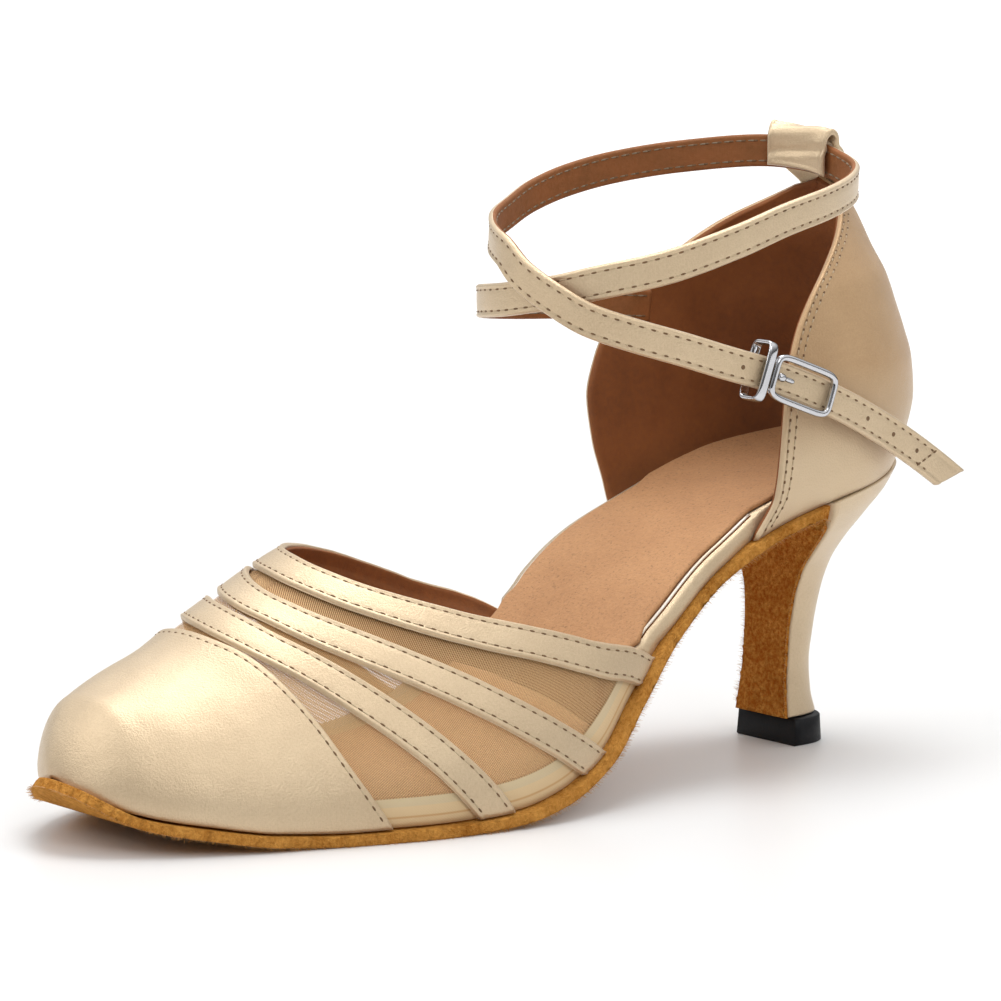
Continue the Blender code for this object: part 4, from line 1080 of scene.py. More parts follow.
class ShoeColours(bpy.types.PropertyGroup):
    """Colours of the shoe's materials."""
    satin_light: bpy.props.FloatVectorProperty(
        name="Satin light", description="Lighter satin tone",
        default=(0.69, 0.540, 0.355), subtype="COLOR")
    satin_dark: bpy.props.FloatVectorProperty(
        name="Satin dark", description="Darker satin tone",
        default=(0.56, 0.420, 0.265), subtype="COLOR")
    # The counter's two tones are a darker, warmer copy of the satin: painted shade
    counter_shade_light: bpy.props.FloatVectorProperty(
        name="Counter light", description="Lighter tone of the counter",
        default=(0.56, 0.365, 0.195), subtype="COLOR")
    counter_shade_dark: bpy.props.FloatVectorProperty(
        name="Counter dark", description="Darker tone of the counter",
        default=(0.41, 0.250, 0.120), subtype="COLOR")
    piping_shade: bpy.props.FloatVectorProperty(
        name="Piping shade", description="Darker tone of the cord by the insock",
        default=(0.70, 0.56, 0.38), subtype="COLOR")
    piping: bpy.props.FloatVectorProperty(
        name="Piping", description="Pale cord by the insock",
        default=(0.80, 0.76, 0.70), subtype="COLOR")
    lining_light: bpy.props.FloatVectorProperty(
        name="Lining light", description="Lighter lining tone",
        default=(0.30, 0.100, 0.024), subtype="COLOR")
    lining_dark: bpy.props.FloatVectorProperty(
        name="Lining dark", description="Darker lining tone",
        default=(0.19, 0.058, 0.013), subtype="COLOR")
    strap_lining: bpy.props.FloatVectorProperty(
        name="Strap lining", description="Lining of the ankle strap",
        default=(0.21, 0.075, 0.016), subtype="COLOR")
    insock_light: bpy.props.FloatVectorProperty(
        name="Insock light", description="Lighter insock tone",
        default=(0.53, 0.275, 0.120), subtype="COLOR")
    insock_dark: bpy.props.FloatVectorProperty(
        name="Insock dark", description="Darker insock tone",
        default=(0.40, 0.190, 0.075), subtype="COLOR")
    suede_light: bpy.props.FloatVectorProperty(
        name="Suede light", description="Lighter suede tone",
        default=(0.76, 0.370, 0.085), subtype="COLOR")
    suede_dark: bpy.props.FloatVectorProperty(
        name="Suede dark", description="Darker suede tone",
        default=(0.32, 0.110, 0.012), subtype="COLOR")
    # Painted shade: a deeper suede tone down the heel's front, under the arch
    suede_breast_shade: bpy.props.FloatVectorProperty(
        name="Suede worn", description="Deep tone down the heel's front",
        default=(0.37, 0.085, 0.002), subtype="COLOR")
    fibre: bpy.props.FloatVectorProperty(
        name="Fibres", description="Loose fibres of the sole",
        default=(0.62, 0.30, 0.07), subtype="COLOR")
    net_light: bpy.props.FloatVectorProperty(
        name="Net light", description="Lighter net thread",
        default=(1.00, 0.70, 0.36), subtype="COLOR")
    net_dark: bpy.props.FloatVectorProperty(
        name="Net dark", description="Darker net thread",
        default=(0.90, 0.58, 0.27), subtype="COLOR")
    # Also the painted shade in the hem's fold and over the ribbon
    net_shade: bpy.props.FloatVectorProperty(
        name="Net shade", description="Shaded side of the net threads",
        default=(0.58, 0.35, 0.155), subtype="COLOR")
    hem: bpy.props.FloatVectorProperty(
        name="Hem", description="Cloth seen along the sole",
        default=(0.68, 0.50, 0.28), subtype="COLOR")
    ribbon: bpy.props.FloatVectorProperty(
        name="Ribbon", description="Pale ribbon seen through the net",
        default=(0.62, 0.49, 0.30), subtype="COLOR")
    thread: bpy.props.FloatVectorProperty(
        name="Thread", description="Sewing thread",
        default=(0.62, 0.47, 0.29), subtype="COLOR")
    # Painted shade inside the needle holes and the punched holes
    hole: bpy.props.FloatVectorProperty(
        name="Needle hole", description="Inside of a needle hole",
        default=(0.13, 0.075, 0.038), subtype="COLOR")
    rubber: bpy.props.FloatVectorProperty(
        name="Tip rubber", description="Rubber of the heel tip",
        default=(0.004, 0.004, 0.005), subtype="COLOR")
    metal: bpy.props.FloatVectorProperty(
        name="Buckle metal", description="Plating of the buckle",
        default=(0.62, 0.62, 0.64), subtype="COLOR")
    floor: bpy.props.FloatVectorProperty(
        name="Floor", description="Studio floor",
        default=(0.74, 0.74, 0.74), subtype="COLOR")


class SHOE_OT_finishes(bpy.types.Operator):
    """Make the materials, shader groups and stitch trees"""
    bl_idname = "shoe.finishes"
    bl_label = "Finishes"

    def execute(self, context):
        c = context.scene.shoe_colours
        GROUPS["weave"], GROUPS["mottle"] = weave_group(), mottle_group()
        TREES["stitch"], TREES["fibre"] = stitch_tree(), fibre_tree()
        FINISH["satin"] = cloth_material(
            "champagne_satin", c.satin_light, c.satin_dark, metallic=0.5, roughness=0.36,
            depth=0.12 * MM, fleck=2200.0, share=0.6, waves=0.4 * MM)
        # Counter: the satin darker and warmer as painted shade, giving way to the plain satin lower down
        FINISH["counter"] = cloth_material(
            "counter_satin", c.counter_shade_light, c.counter_shade_dark, metallic=0.35, roughness=0.42,
            depth=0.12 * MM, patch=28.0, fleck=2200.0, share=0.4, waves=0.4 * MM,
            shade_fade=(c.satin_light, *COUNTER_SHADE_FADE))
        FINISH["lining"] = cloth_material(
            "brown_lining", c.lining_light, c.lining_dark, threads=900.0,
            depth=0.12 * MM, roughness=0.8, patch=60.0, fleck=700.0, sheen=0.0)
        FINISH["strap_lining"] = cloth_material(
            "strap_lining", c.strap_lining, c.lining_light, threads=900.0,
            depth=0.12 * MM, roughness=0.75, patch=150.0, fleck=900.0, sheen=0.0)
        FINISH["insock"] = cloth_material(
            "tan_insole_leather", c.insock_light, c.insock_dark, threads=700.0,
            depth=0.14 * MM, roughness=0.75, patch=70.0, fleck=1100.0, share=0.6, sheen=0.1,
            specks=c.insock_dark * 0.4)
        FINISH["net"] = net_material(c, context.scene.shoe_sizes)
        # The suede turns deeper down the heel's front: painted shade under the arch
        FINISH["suede"] = suede_material("brown_suede", c.suede_light, c.suede_dark, c.suede_breast_shade)
        FINISH["fibre"] = thread_material("loose_fibre", c.fibre)
        FINISH["piping"] = cloth_material(
            "pale_piping", c.piping, c.piping_shade, metallic=0.3, roughness=0.35)
        # Painted shadow: the dark cords in the grooves beside the piping
        FINISH["gap"] = suede_material("gap_shadow", c.lining_dark, c.hole)
        FINISH["thread"] = thread_material("sewing_thread", c.thread)
        FINISH["lining_thread"] = thread_material("lining_thread", tuple(c.thread * 0.45))
        # Painted shade: dark needle holes and the plugs in the punched holes
        FINISH["hole_shade"] = rubber_material("hole_shade", c.hole)
        FINISH["rubber"] = rubber_material("black_rubber", c.rubber)
        FINISH["chrome"] = metal_material("chrome", c.metal)
        return {"FINISHED"}


def sole_edges(count):
    """Left and right edge points of the outsole's upper and lower side, toe first, down the heel."""
    end = (BREAST_PLACE - SOLE_BEND - HEEL_REACH + LENGTH) / LENGTH
    front_face, back_face = BREAST_PLACE - FIT - BREAST_COVER, BREAST_PLACE - FIT
    u = (1 - np.cos(np.pi / 2 * np.linspace(0, 1, count))) * end
    sides = [centre(u) + k * half_width(u, 0.0) for k in (-1, 1)]
    upper = [np.stack([above_sole(u, x, SOLE_THICK) for x in sides], axis=1)]
    lower = [np.stack([above_sole(u, x, 0.0) for x in sides], axis=1)]
    half, middle = half_width(end, 0.0), centre(end)
    place = np.linspace(0, 1, 14)[1:]
    knots = np.concatenate([[(0.0, 0.0, 0.0, 0.0)], SOLE_CORNER])
    line = np.linspace(0, 1, len(knots))
    corner = np.stack([np.interp(place, line, knots[:, k]) for k in range(4)], axis=1)
    y_low = BREAST_PLACE - SOLE_BEND + (front_face - BREAST_PLACE + SOLE_BEND) * corner[:, 0]
    y_high = BREAST_PLACE - SOLE_BEND + (back_face - BREAST_PLACE + SOLE_BEND) * corner[:, 2]
    low = rise((y_low - HEEL_REACH + LENGTH) / LENGTH) - SOLE_BEND * corner[:, 1]
    high = seat_height(y_high) - SOLE_BEND * corner[:, 3]
    top = (low[-1] - FIT - TIP_HEIGHT) / (seat_height(BREAST_PLACE) - TIP_HEIGHT)
    heel_half, heel_middle = heel_section(top)[:2]
    wide, aside = half + (heel_half - half) * corner[:, 1], middle + (heel_middle - middle) * corner[:, 1]
    lower.append(np.stack([stack(aside + k * wide, y_low, low) for k in (-1, 1)], axis=1))
    upper.append(np.stack([stack(aside + k * wide, y_high, high) for k in (-1, 1)], axis=1))
    half, middle, front, z = heel_section(np.linspace(top, 0, 60))
    lower.append(np.stack([stack(middle + k * half, front - FIT - BREAST_COVER, z) for k in (-1, 1)], axis=1))
    upper.append(np.stack([stack(middle + k * half, front - FIT, z) for k in (-1, 1)], axis=1))
    return np.concatenate(upper), np.concatenate(lower)


class SHOE_OT_sole(bpy.types.Operator):
    """Suede outsole with its rough edge and the loose fibres along it"""
    bl_idname = "shoe.sole"
    bl_label = "Outsole"

    def execute(self, context):
        sizes = context.scene.shoe_sizes
        upper, lower = sole_edges(240)
        rows = np.arange(len(upper))
        across = unit(upper[:, 1] - upper[:, 0] + 1e-9)
        rings = []
        for share in np.linspace(0, 1, 9):
            rings.append(upper[:, 0] + (upper[:, 1] - upper[:, 0]) * share)
        long, middling, short = SOLE_ROUGH
        for side in (1, 0):
            sign = 1 if side else -1
            rough = long * wobble(rows * 0.9 + side * 5) + middling * wobble(rows * 2.3 + side)
            for k, level in enumerate(SOLE_EDGE_LEVELS if side else SOLE_EDGE_LEVELS[::-1]):
                middle = upper[:, side] + (lower[:, side] - upper[:, side]) * level
                push = rough * (0.7 + 0.5 * level) + short * wobble(rows * 1.7 + k * 2 + side)
                rings.append(middle + across * (sign * push)[:, None])
            if side:
                for share in np.linspace(1, 0, 9):
                    rings.append(lower[:, 0] + (lower[:, 1] - lower[:, 0]) * share)
        ring = np.stack(rings, axis=1)
        ride(ring_solid("outsole_suede", ring, [FINISH["suede"]]), "brown_suede", "outsole")
        lines, outward = [], []
        flat = slice(40, 60)
        for side in (0, 1):
            down = lower[:, side] - upper[:, side]
            line = upper[:, side] * (1 - FIBRE_LEVEL) + lower[:, side] * FIBRE_LEVEL
            off = unit(np.cross(np.gradient(line, axis=0), down))
            off *= np.sign(np.sum(off[flat] * across[flat], axis=1).mean()) * (1 if side else -1)
            off = unit(off + FIBRE_DROOP * unit(down))
            off[:, 2] = np.maximum(off[:, 2], (FIBRE_CLEAR - line[:, 2]) / sizes.fibre_length)
            lines.append(line[2:-2])
            outward.append(off[2:-2])
        inputs = {"Spacing": FIBRE_SPACING, "Fibre Length": sizes.fibre_length,
                  "Fibre Thickness": FIBRE_THICK, "Seed": 7, "Fibre Finish": FINISH["fibre"]}
        ride(along_lines("sole_fibres", lines, TREES["fibre"], inputs, outward), "brown_suede")
        return {"FINISHED"}


def insole_edges(inset_more, count):
    """Places along the insole, toe first, with its outer and inner edge there."""
    end = (HIDDEN_INSET + inset_more) / LENGTH
    u = end + (1 - 2 * end) * (1 - np.cos(np.pi * np.linspace(0, 1, count))) / 2
    hidden = [(HIDDEN_INSET - BARE_INSET) * (1 - smooth(INSOLE_EDGE, k, u)) for k in (1, 2)]
    outer_x = centre(u) + half_width(u, BARE_INSET + hidden[0] + inset_more)
    inner_x = centre(u) - half_width(u, BARE_INSET + hidden[1] + inset_more)
    return u, outer_x, inner_x


def insole_point(u, outer_x, inner_x, share, height, dished):
    """A place on the insole. share runs from its outer edge (0) to its inner one (1)."""
    x = outer_x + (inner_x - outer_x) * share
    back = np.maximum(u - 1 + SEAT_ROUND / LENGTH, 0.0) * LENGTH / SEAT_ROUND
    wide = (x - centre(u)) / (BALL_WIDTH * smooth(SOLE, 2, u))
    dish = SEAT_DISH * smooth(INSOLE_EDGE, 3, u) * np.minimum(np.hypot(wide, back), 1.0) ** 3
    arch = BOARD_THICK * smooth(INSOLE_EDGE, 4, u) * share ** 2
    return above_sole(u, x, height + (dish + arch) * dished)


class SHOE_OT_insole(bpy.types.Operator):
    """Insole board with its satin roll, the pale piping on it and the insock"""
    bl_idname = "shoe.insole"
    bl_label = "Insole"

    def execute(self, context):
        low = SOLE_THICK + FIT
        high = low + BOARD_THICK
        u, outer_x, inner_x = insole_edges(0.0, 200)
        rings = []
        for share in np.linspace(0, 1, 17):
            rings.append(insole_point(u, outer_x, inner_x, share, high, 1.0))
        for k in ROLL_LEVELS[::-1]:
            out = ROLL_BULGE * math.sin(math.pi * k)
            rings.append(insole_point(u, outer_x, inner_x - out, 1.0, low + BOARD_THICK * k, k))
        for share in np.linspace(1, 0, 9):
            rings.append(insole_point(u, outer_x, inner_x, share, low, 0.0))
        for k in ROLL_LEVELS:
            out = ROLL_BULGE * math.sin(math.pi * k)
            rings.append(insole_point(u, outer_x + out, inner_x, 0.0, low + BOARD_THICK * k, k))
        board = ring_solid("insole_satin_edge", np.stack(rings, axis=1), [FINISH["satin"]])
        ride(board, "champagne_satin", "insole_board")
        keep = (u > PIPED[0]) & (u < PIPED[1])
        bare = u[keep], outer_x[keep], inner_x[keep]
        # The pale piping, and dark cords of painted shadow either side of it
        for side, end in ((1, "_outer"), (-1, "_inner")):
            for name, inset, radius, lift, finish in PIPING:
                edge = bare[1] if side > 0 else bare[2]
                share = (edge - side * inset - bare[1]) / (bare[2] - bare[1])
                line = insole_point(*bare, share, high + lift, 1.0)
                ride(cord(name + end, line, radius, FINISH[finish]), "champagne_satin")
        base = high + FIT
        u, outer_x, inner_x = insole_edges(SOCK_INSET, 220)
        shown = np.clip((u - PIPED[0]) / SOCK_RAMP, 0.0, 1.0)
        shown *= np.clip((PIPED[1] + SOCK_RAMP - u) / SOCK_RAMP, 0.0, 1.0)
        outer_x, inner_x = outer_x - shown * SOCK_BACK, inner_x + shown * SOCK_BACK
        outer, inner = [], []
        for share in rimmed(28, SOCK_ACROSS, SOCK_EDGE):
            near = min(share, 1 - share) * SOCK_ACROSS
            fall = 1 - math.sqrt(1 - (1 - min(near / SOCK_EDGE, 1.0)) ** 2)
            uneven = SOCK_UNEVEN * wobble(u * 40 + share * 3) * (near > 3 * MM)
            height = base + SOCK_THICK * (1 - 0.6 * fall) + uneven
            outer.append(insole_point(u, outer_x, inner_x, share, height, 1.0))
            inner.append(insole_point(u, outer_x, inner_x, share, base, 1.0))
        outer, inner = np.stack(outer, axis=1), np.stack(inner, axis=1)
        ride(two_sided("insock_leather", outer, inner, [FINISH["insock"]]), "tan_insole_leather", "insock")
        return {"FINISHED"}


def lifted(u, t, lift):
    """Points at a distance outside the net's surface."""
    step = 0.002
    here = last_point(u, t)
    along = last_point(u + step, t) - last_point(np.maximum(u - step, 0.0), t)
    t_low, t_high = np.maximum(t - step, 0.0), np.minimum(t + step, 1.0)
    across = last_point(u, t_high) - last_point(u, t_low)
    out = np.cross(along, across)
    foot = np.minimum(t, 1 - t) < 1e-6
    out[..., 2] = np.where(foot, out[..., 1] * np.tan(tilt(u)), out[..., 2])
    tip = u <= FEATHER_INSET / LENGTH + 1e-4
    out = np.where(tip[..., None], np.array([0.0, -1.0, -math.tan(tilt(0.0))]), out)
    return here + unit(out) * np.asarray(lift)[..., None]


def line_place(column, t):
    """Where a line across the vamp lies along the shoe, with the table's corners eased out."""
    room = np.minimum(np.minimum(t, 1 - t), LINE_EASE)
    weights = ((-2, 1), (-1, 2), (0, 3), (1, 2), (2, 1))
    return sum(smooth(LINES, column, t + k * room / 2) * weight for k, weight in weights) / 9


def from_toe(count, crowd=0.35):
    """Places from 0 to 1 that lie closer together near the toe."""
    steps = np.linspace(0, 1, count)
    gain = 1 / (2 * crowd - crowd ** 2)
    return gain * np.where(steps < crowd, steps ** 2, crowd * (2 * steps - crowd))


def strap_edges(column, t):
    """Middle line of a vamp strap and the half width of the strap, both along the shoe."""
    step = 0.004
    low, high = np.maximum(t - step, 0.0), np.minimum(t + step, 1.0)
    u = line_place(column, t)
    along = (last_point(u + step, t) - last_point(u - step, t)) / (2 * step)
    line = unit(last_point(line_place(column, high), high) - last_point(line_place(column, low), low))
    return u, VAMP_STRAP_WIDTH / 2 / np.linalg.norm(np.cross(along, line), axis=-1)


class SHOE_OT_vamp(bpy.types.Operator):
    """Net vamp, toe cap and the three stitched straps over it"""
    bl_idname = "shoe.vamp"
    bl_label = "Vamp"

    def execute(self, context):
        sizes = context.scene.shoe_sizes
        tip = FEATHER_INSET / LENGTH
        t = np.linspace(0, 1, 161)
        # Net with its brown band inside the collar
        collar = line_place(4, t)
        share = from_toe(150)[:, None]
        u = tip + (collar - tip)[None, :] * share
        t_grid = np.broadcast_to(t, u.shape)
        outer = lifted(u, t_grid, np.full(u.shape, 0.0))
        inner = lifted(u, t_grid, np.full(u.shape, -NET_THICK))
        round_t = run_length(outer, 1)
        up = np.minimum(round_t, round_t[:, -1:] - round_t) / MM
        cloth = np.stack([run_length(outer, 0) / MM, up], axis=-1)
        ride(two_sided("net_cloth", outer, inner, [FINISH["net"]], cloth), "tan_net", "vamp_net")
        middle, half = strap_edges(4, t)
        rear = middle + half - LINING_BACK
        u = rear[None, :] - np.linspace(0, LINING_LENGTH, 26)[:, None]
        t_grid = np.broadcast_to(t, u.shape)
        depth = LINING_RISE * np.clip((u - collar[None, :]) / LINING_RAMP, 0.0, 1.0) - LINING_SINK
        band_out = lifted(u, t_grid, depth)
        band_in = lifted(u, t_grid, depth - LINING_THICK)
        ride(two_sided("collar_lining", band_out, band_in, [FINISH["lining"]]), "tan_net")
        # Toe cap
        edge = line_place(1, t)
        rows = np.concatenate([from_toe(90) * 0.985, [0.99, 0.995, 0.998, 1.0]])
        u = tip + (edge - tip)[None, :] * rows[:, None]
        t_grid = np.broadcast_to(t, u.shape)
        surface = lifted(u, t_grid, np.full(u.shape, FIT))
        far = edge_distance(surface, 0, start=False)
        thick = COVER * (0.35 + 0.65 * round_off(far, sizes.edge_radius)) + folded_edge(far, sizes) * 0.5
        outer = lifted(u, t_grid, FIT + thick)
        ride(two_sided("toe_cap_satin", outer, surface, [FINISH["satin"]]), "champagne_satin", "toe_cap")
        back = np.linspace(0, 1, 400)
        line_u = line_place(1, back) - sizes.stitch_inset / LENGTH
        row = lifted(line_u, back, np.full(back.shape, FIT + COVER - CAP_STITCH_SINK))
        stitched("toe_cap_stitches", [row[6:-6]], sizes)
        # Straps
        lines = []
        for name, column in (("front", 2), ("middle", 3), ("collar", 4)):
            t_line = np.linspace(0, 1, 181)
            u_mid, half = strap_edges(column, t_line)
            across = rimmed(13, VAMP_STRAP_WIDTH, sizes.edge_radius) * 2 - 1
            u = u_mid[:, None] + half[:, None] * across[None, :]
            t_grid = np.broadcast_to(t_line[:, None], u.shape)
            far = (1 - np.abs(across)) * VAMP_STRAP_WIDTH / 2
            thick = COVER * round_off(far, sizes.edge_radius) + folded_edge(far, sizes)
            base = COVER * 0.4 * (1 - round_off(far, sizes.edge_radius))
            outer = lifted(u, t_grid, np.broadcast_to(FIT + np.maximum(thick, base), u.shape))
            inner = lifted(u, t_grid, np.broadcast_to(FIT + base, u.shape))
            strap = two_sided("strap_" + name, outer, inner, [FINISH["satin"]])
            ride(strap, "champagne_satin", "vamp_strap_" + name)
            t_row = np.linspace(0, 1, 500)
            u_mid, half = strap_edges(column, t_row)
            inset = 1 - sizes.stitch_inset / (VAMP_STRAP_WIDTH / 2)
            height = np.full(t_row.shape, FIT + COVER - sizes.stitch_dip + STITCH_PROUD)
            for side in (-1, 1):
                lines.append(lifted(u_mid + side * half * inset, t_row, height)[5:-5])
        stitched("vamp_strap_stitches", lines, sizes)
        return {"FINISHED"}


class SHOE_OT_counter(bpy.types.Operator):
    """Counter with its brown lining, rounded edge and double row of stitches"""
    bl_idname = "shoe.counter"
    bl_label = "Counter"

    def execute(self, context):
        sizes = context.scene.shoe_sizes
        levels = np.concatenate([np.linspace(0, 0.985, 70), [0.99, 0.9945, 0.9975, 1.0]])
        share = rimmed(150, 130 * MM, 1.2 * MM)
        start, end = wing_turn(1, levels)[:, None], wing_turn(-1, levels)[:, None]
        turn = start + (end - start) * share[None, :]
        outer = counter_point(turn, levels[:, None])
        out = surface_normals(outer)
        out *= np.sign(np.sum(out * (outer - outer.mean(axis=(0, 1))), axis=-1).mean())
        out[0, :, 2] = 0.0
        out = unit(out)
        side, top = edge_distance(outer, 1), edge_distance(outer, 0, start=False)
        far = np.minimum(side, top)
        shape = round_off(far, 1.0 * MM)
        middle = outer - out * COUNTER_WALL / 2
        face = middle + out * (COUNTER_WALL / 2 * shape + folded_edge(far, sizes) * shape)[..., None]
        back = middle - out * (COUNTER_WALL / 2 * shape)[..., None]
        ride(two_sided("counter_satin", face, back, [FINISH["counter"], FINISH["lining"]], inner_slot=1),
             "champagne_satin", "counter")
        lines = []
        rows = np.linspace(0.02, 0.985, 220)
        for wing in (1, -1):
            for inset in (sizes.stitch_inset, sizes.stitch_inset + WING_ROW_GAP):
                edge = counter_point(wing_turn(wing, rows), rows)
                behind = counter_point(wing_turn(wing, rows) - wing * WING_STEP, rows)
                per_degree = np.linalg.norm(behind - edge, axis=-1) / WING_STEP
                turn = wing_turn(wing, rows) - wing * inset / per_degree
                spot = counter_point(turn, rows)
                beside, above = counter_point(turn - 1, rows), counter_point(turn, rows + 0.004)
                outward = unit(np.cross(beside - spot, above - spot))
                outward *= np.sign(np.sum(outward * unit(spot - np.array(SHOE_MIDDLE)), axis=-1))[:, None]
                lines.append(spot + outward * STITCH_PROUD)
        stitched("counter_stitches", lines, sizes, pitch=2.2 * MM, thread=1.5 * MM, hole=0.8 * MM)
        return {"FINISHED"}


def banded(name, path, facing, width, thick, sizes, materials, bevel=0.0, nodes=()):
    """A sewn strap along a path: folded edges, a lining side and its stitch rows."""
    run = unit(np.gradient(path, axis=0))
    side = unit(np.cross(run, facing))
    out = unit(np.cross(side, run))
    across = rimmed(13, width, sizes.edge_radius) * 2 - 1
    far = (1 - np.abs(across)) * width / 2
    shape = round_off(far, sizes.edge_radius)
    outer = path[:, None] + side[:, None] * (across * width / 2)[None, :, None]
    if bevel:
        walked = run_length(path[:, None], 0)[:, 0]
        near_end = np.clip(1 - (walked[-1] - walked) / BEVEL_REACH, 0.0, 1.0)
        outer = outer - run[:, None] * (across[None, :] * near_end[:, None] * bevel / 2)[..., None]
    inner = outer.copy()
    outer = outer + out[:, None] * (thick / 2 * shape + folded_edge(far, sizes) * shape)[None, :, None]
    inner = inner - out[:, None] * (thick / 2 * shape)[None, :, None]
    piece = two_sided(name, outer, inner, materials, inner_slot=len(materials) - 1)
    ride(piece, "champagne_satin", *nodes)
    lines = []
    for sign in (-1, 1):
        offset = sign * (width / 2 - sizes.stitch_inset)
        for depth in (thick / 2 - sizes.stitch_dip + STITCH_PROUD, STITCH_PROUD - thick / 2):
            lines.append(path + side * offset + out * depth)
    return lines, (run, side, out)


class SHOE_OT_straps(bpy.types.Operator):
    """Ankle strap with its punched tail, the short buckle strap and the tab at the back"""
    bl_idname = "shoe.straps"
    bl_label = "Ankle straps"

    def execute(self, context):
        sizes = context.scene.shoe_sizes
        turns = np.linspace(WRAP[0, 0], WRAP[-1, 0], 620)
        tail = np.linspace(0, TAIL_LENGTH, 110)[1:]
        path = np.concatenate([strap_middle(turns), tail_middle(tail)])
        angle = np.radians(turns)
        round_ankle = stack(np.sin(angle), np.cos(angle), 0.0)
        facing = np.concatenate([round_ankle, np.tile([1.0, 0.0, 0.0], (len(tail), 1))])
        lines, (run, side, out) = banded(
            "ankle_strap_satin", path, facing, ANKLE_STRAP_WIDTH, STRAP_THICK, sizes,
            [FINISH["satin"], FINISH["strap_lining"]], TAIL_BEVEL, ("ankle_strap",))
        face_rows, lining_rows = ([line[3:-14] for line in lines[k::2]] for k in (0, 1))
        stitched("ankle_strap_stitches", face_rows, sizes)
        stitched("ankle_strap_lining_stitches", lining_rows, sizes, finish="lining_thread")
        across = np.linspace(-1, 1, 20) * (ANKLE_STRAP_WIDTH / 2 - sizes.stitch_inset)
        slant = across * TAIL_BEVEL / ANKLE_STRAP_WIDTH * 0.8
        cross = path[TAIL_ROW] + side[TAIL_ROW] * across[:, None] - run[TAIL_ROW] * slant[:, None]
        cross += out[TAIL_ROW] * (STRAP_THICK / 2 - STITCH_PROUD)
        stitched("tail_end_stitches", [cross], sizes, pitch=1.6 * MM, thread=1.2 * MM)
        walked = run_length(path[:, None], 0)[:, 0]
        turning = np.linspace(0, 2 * np.pi, 17)[:-1]
        # Dark plugs of painted shade in the punched holes
        for number, place in enumerate(PUNCHED):
            k = int(np.searchsorted(walked, walked[len(turns) - 1] + place * MM))
            circle = np.cos(turning)[:, None] * run[k] + np.sin(turning)[:, None] * side[k]
            face = path[k] + out[k] * STRAP_THICK / 2
            rings = [face + out[k] * high + circle * (HOLE_RADIUS * wide) for wide, high in HOLE_SHAPE]
            hole = ring_solid("punched_hole_%d" % (number + 1), np.stack(rings), [FINISH["hole_shade"]])
            ride(hole, "champagne_satin")
        start = BUCKLE_PLACE - BUCKLE_LENGTH / 2 - FIT - KEEPER_WIDTH
        points, ways = [], []
        for share in np.linspace(0, 1, 60):
            spot, _, _, away = strap_frame(start + STUB_LENGTH * share)
            points.append(spot - away * ((STRAP_THICK + STUB_THICK) / 2 + FIT + STUB_SINK * share ** 2))
            ways.append(away)
        banded("buckle_strap_satin", np.array(points), np.array(ways), ANKLE_STRAP_WIDTH - FIT,
               STUB_THICK, sizes, [FINISH["satin"], FINISH["strap_lining"]], nodes=("buckle_strap",))
        columns = []
        for share in rimmed(22, TAB_WIDTH, TAB_EDGE) - 0.5:
            turn = TAB_TURN + math.degrees(share * TAB_WIDTH / ANKLE_HALF_WIDTH)
            middle = strap_middle(turn)
            away = np.array([math.sin(math.radians(turn)), math.cos(math.radians(turn)), 0.0])
            column = [middle + ANKLE_STRAP_WIDTH * (a * away + np.array([0.0, 0.0, b])) for a, b in TAB]
            for level in TAB_LEVELS:
                at = TAB_TURN + share * TAB_SPREAD
                spot = counter_point(at, level)
                off = np.cross(counter_point(at, level - 0.05) - spot, counter_point(at + 2, level) - spot)
                column.append(spot - (FIT + TAB_THICK / 2) * unit(off))
            column = np.array(column)
            walked = np.concatenate([[0.0], np.cumsum(np.linalg.norm(np.diff(column, axis=0), axis=1))])
            table = np.column_stack([walked, column])
            at = np.linspace(0, walked[-1], 90)
            columns.append(np.stack([smooth(table, k, at) for k in (1, 2, 3)], axis=-1))
        grid = np.stack(columns)
        away = surface_normals(grid)
        away *= np.sign(away[11, 20] @ np.array([0.0, 0.0, 1.0]) + away[11, 60] @ np.array([0.0, 1.0, 0.0]))
        far = np.minimum(edge_distance(grid, 0), edge_distance(grid, 1))
        shape = round_off(far, 0.6 * MM)[..., None]
        row, column = np.arange(grid.shape[1])[None, :], np.arange(grid.shape[0])[:, None]
        crease = np.zeros(far.shape)
        for start, slope, wide, depth in TAB_CREASES:
            crease += depth * np.exp(-((row - start - slope * column) / wide) ** 2)
        grid = grid + away * (crease[..., None] * shape)
        face = grid + away * (TAB_THICK / 2 * shape + folded_edge(far, sizes)[..., None] * shape)
        ride(two_sided("back_tab_satin", face, grid - away * TAB_THICK / 2 * shape, [FINISH["satin"]]),
             "champagne_satin", "back_tab")
        return {"FINISHED"}


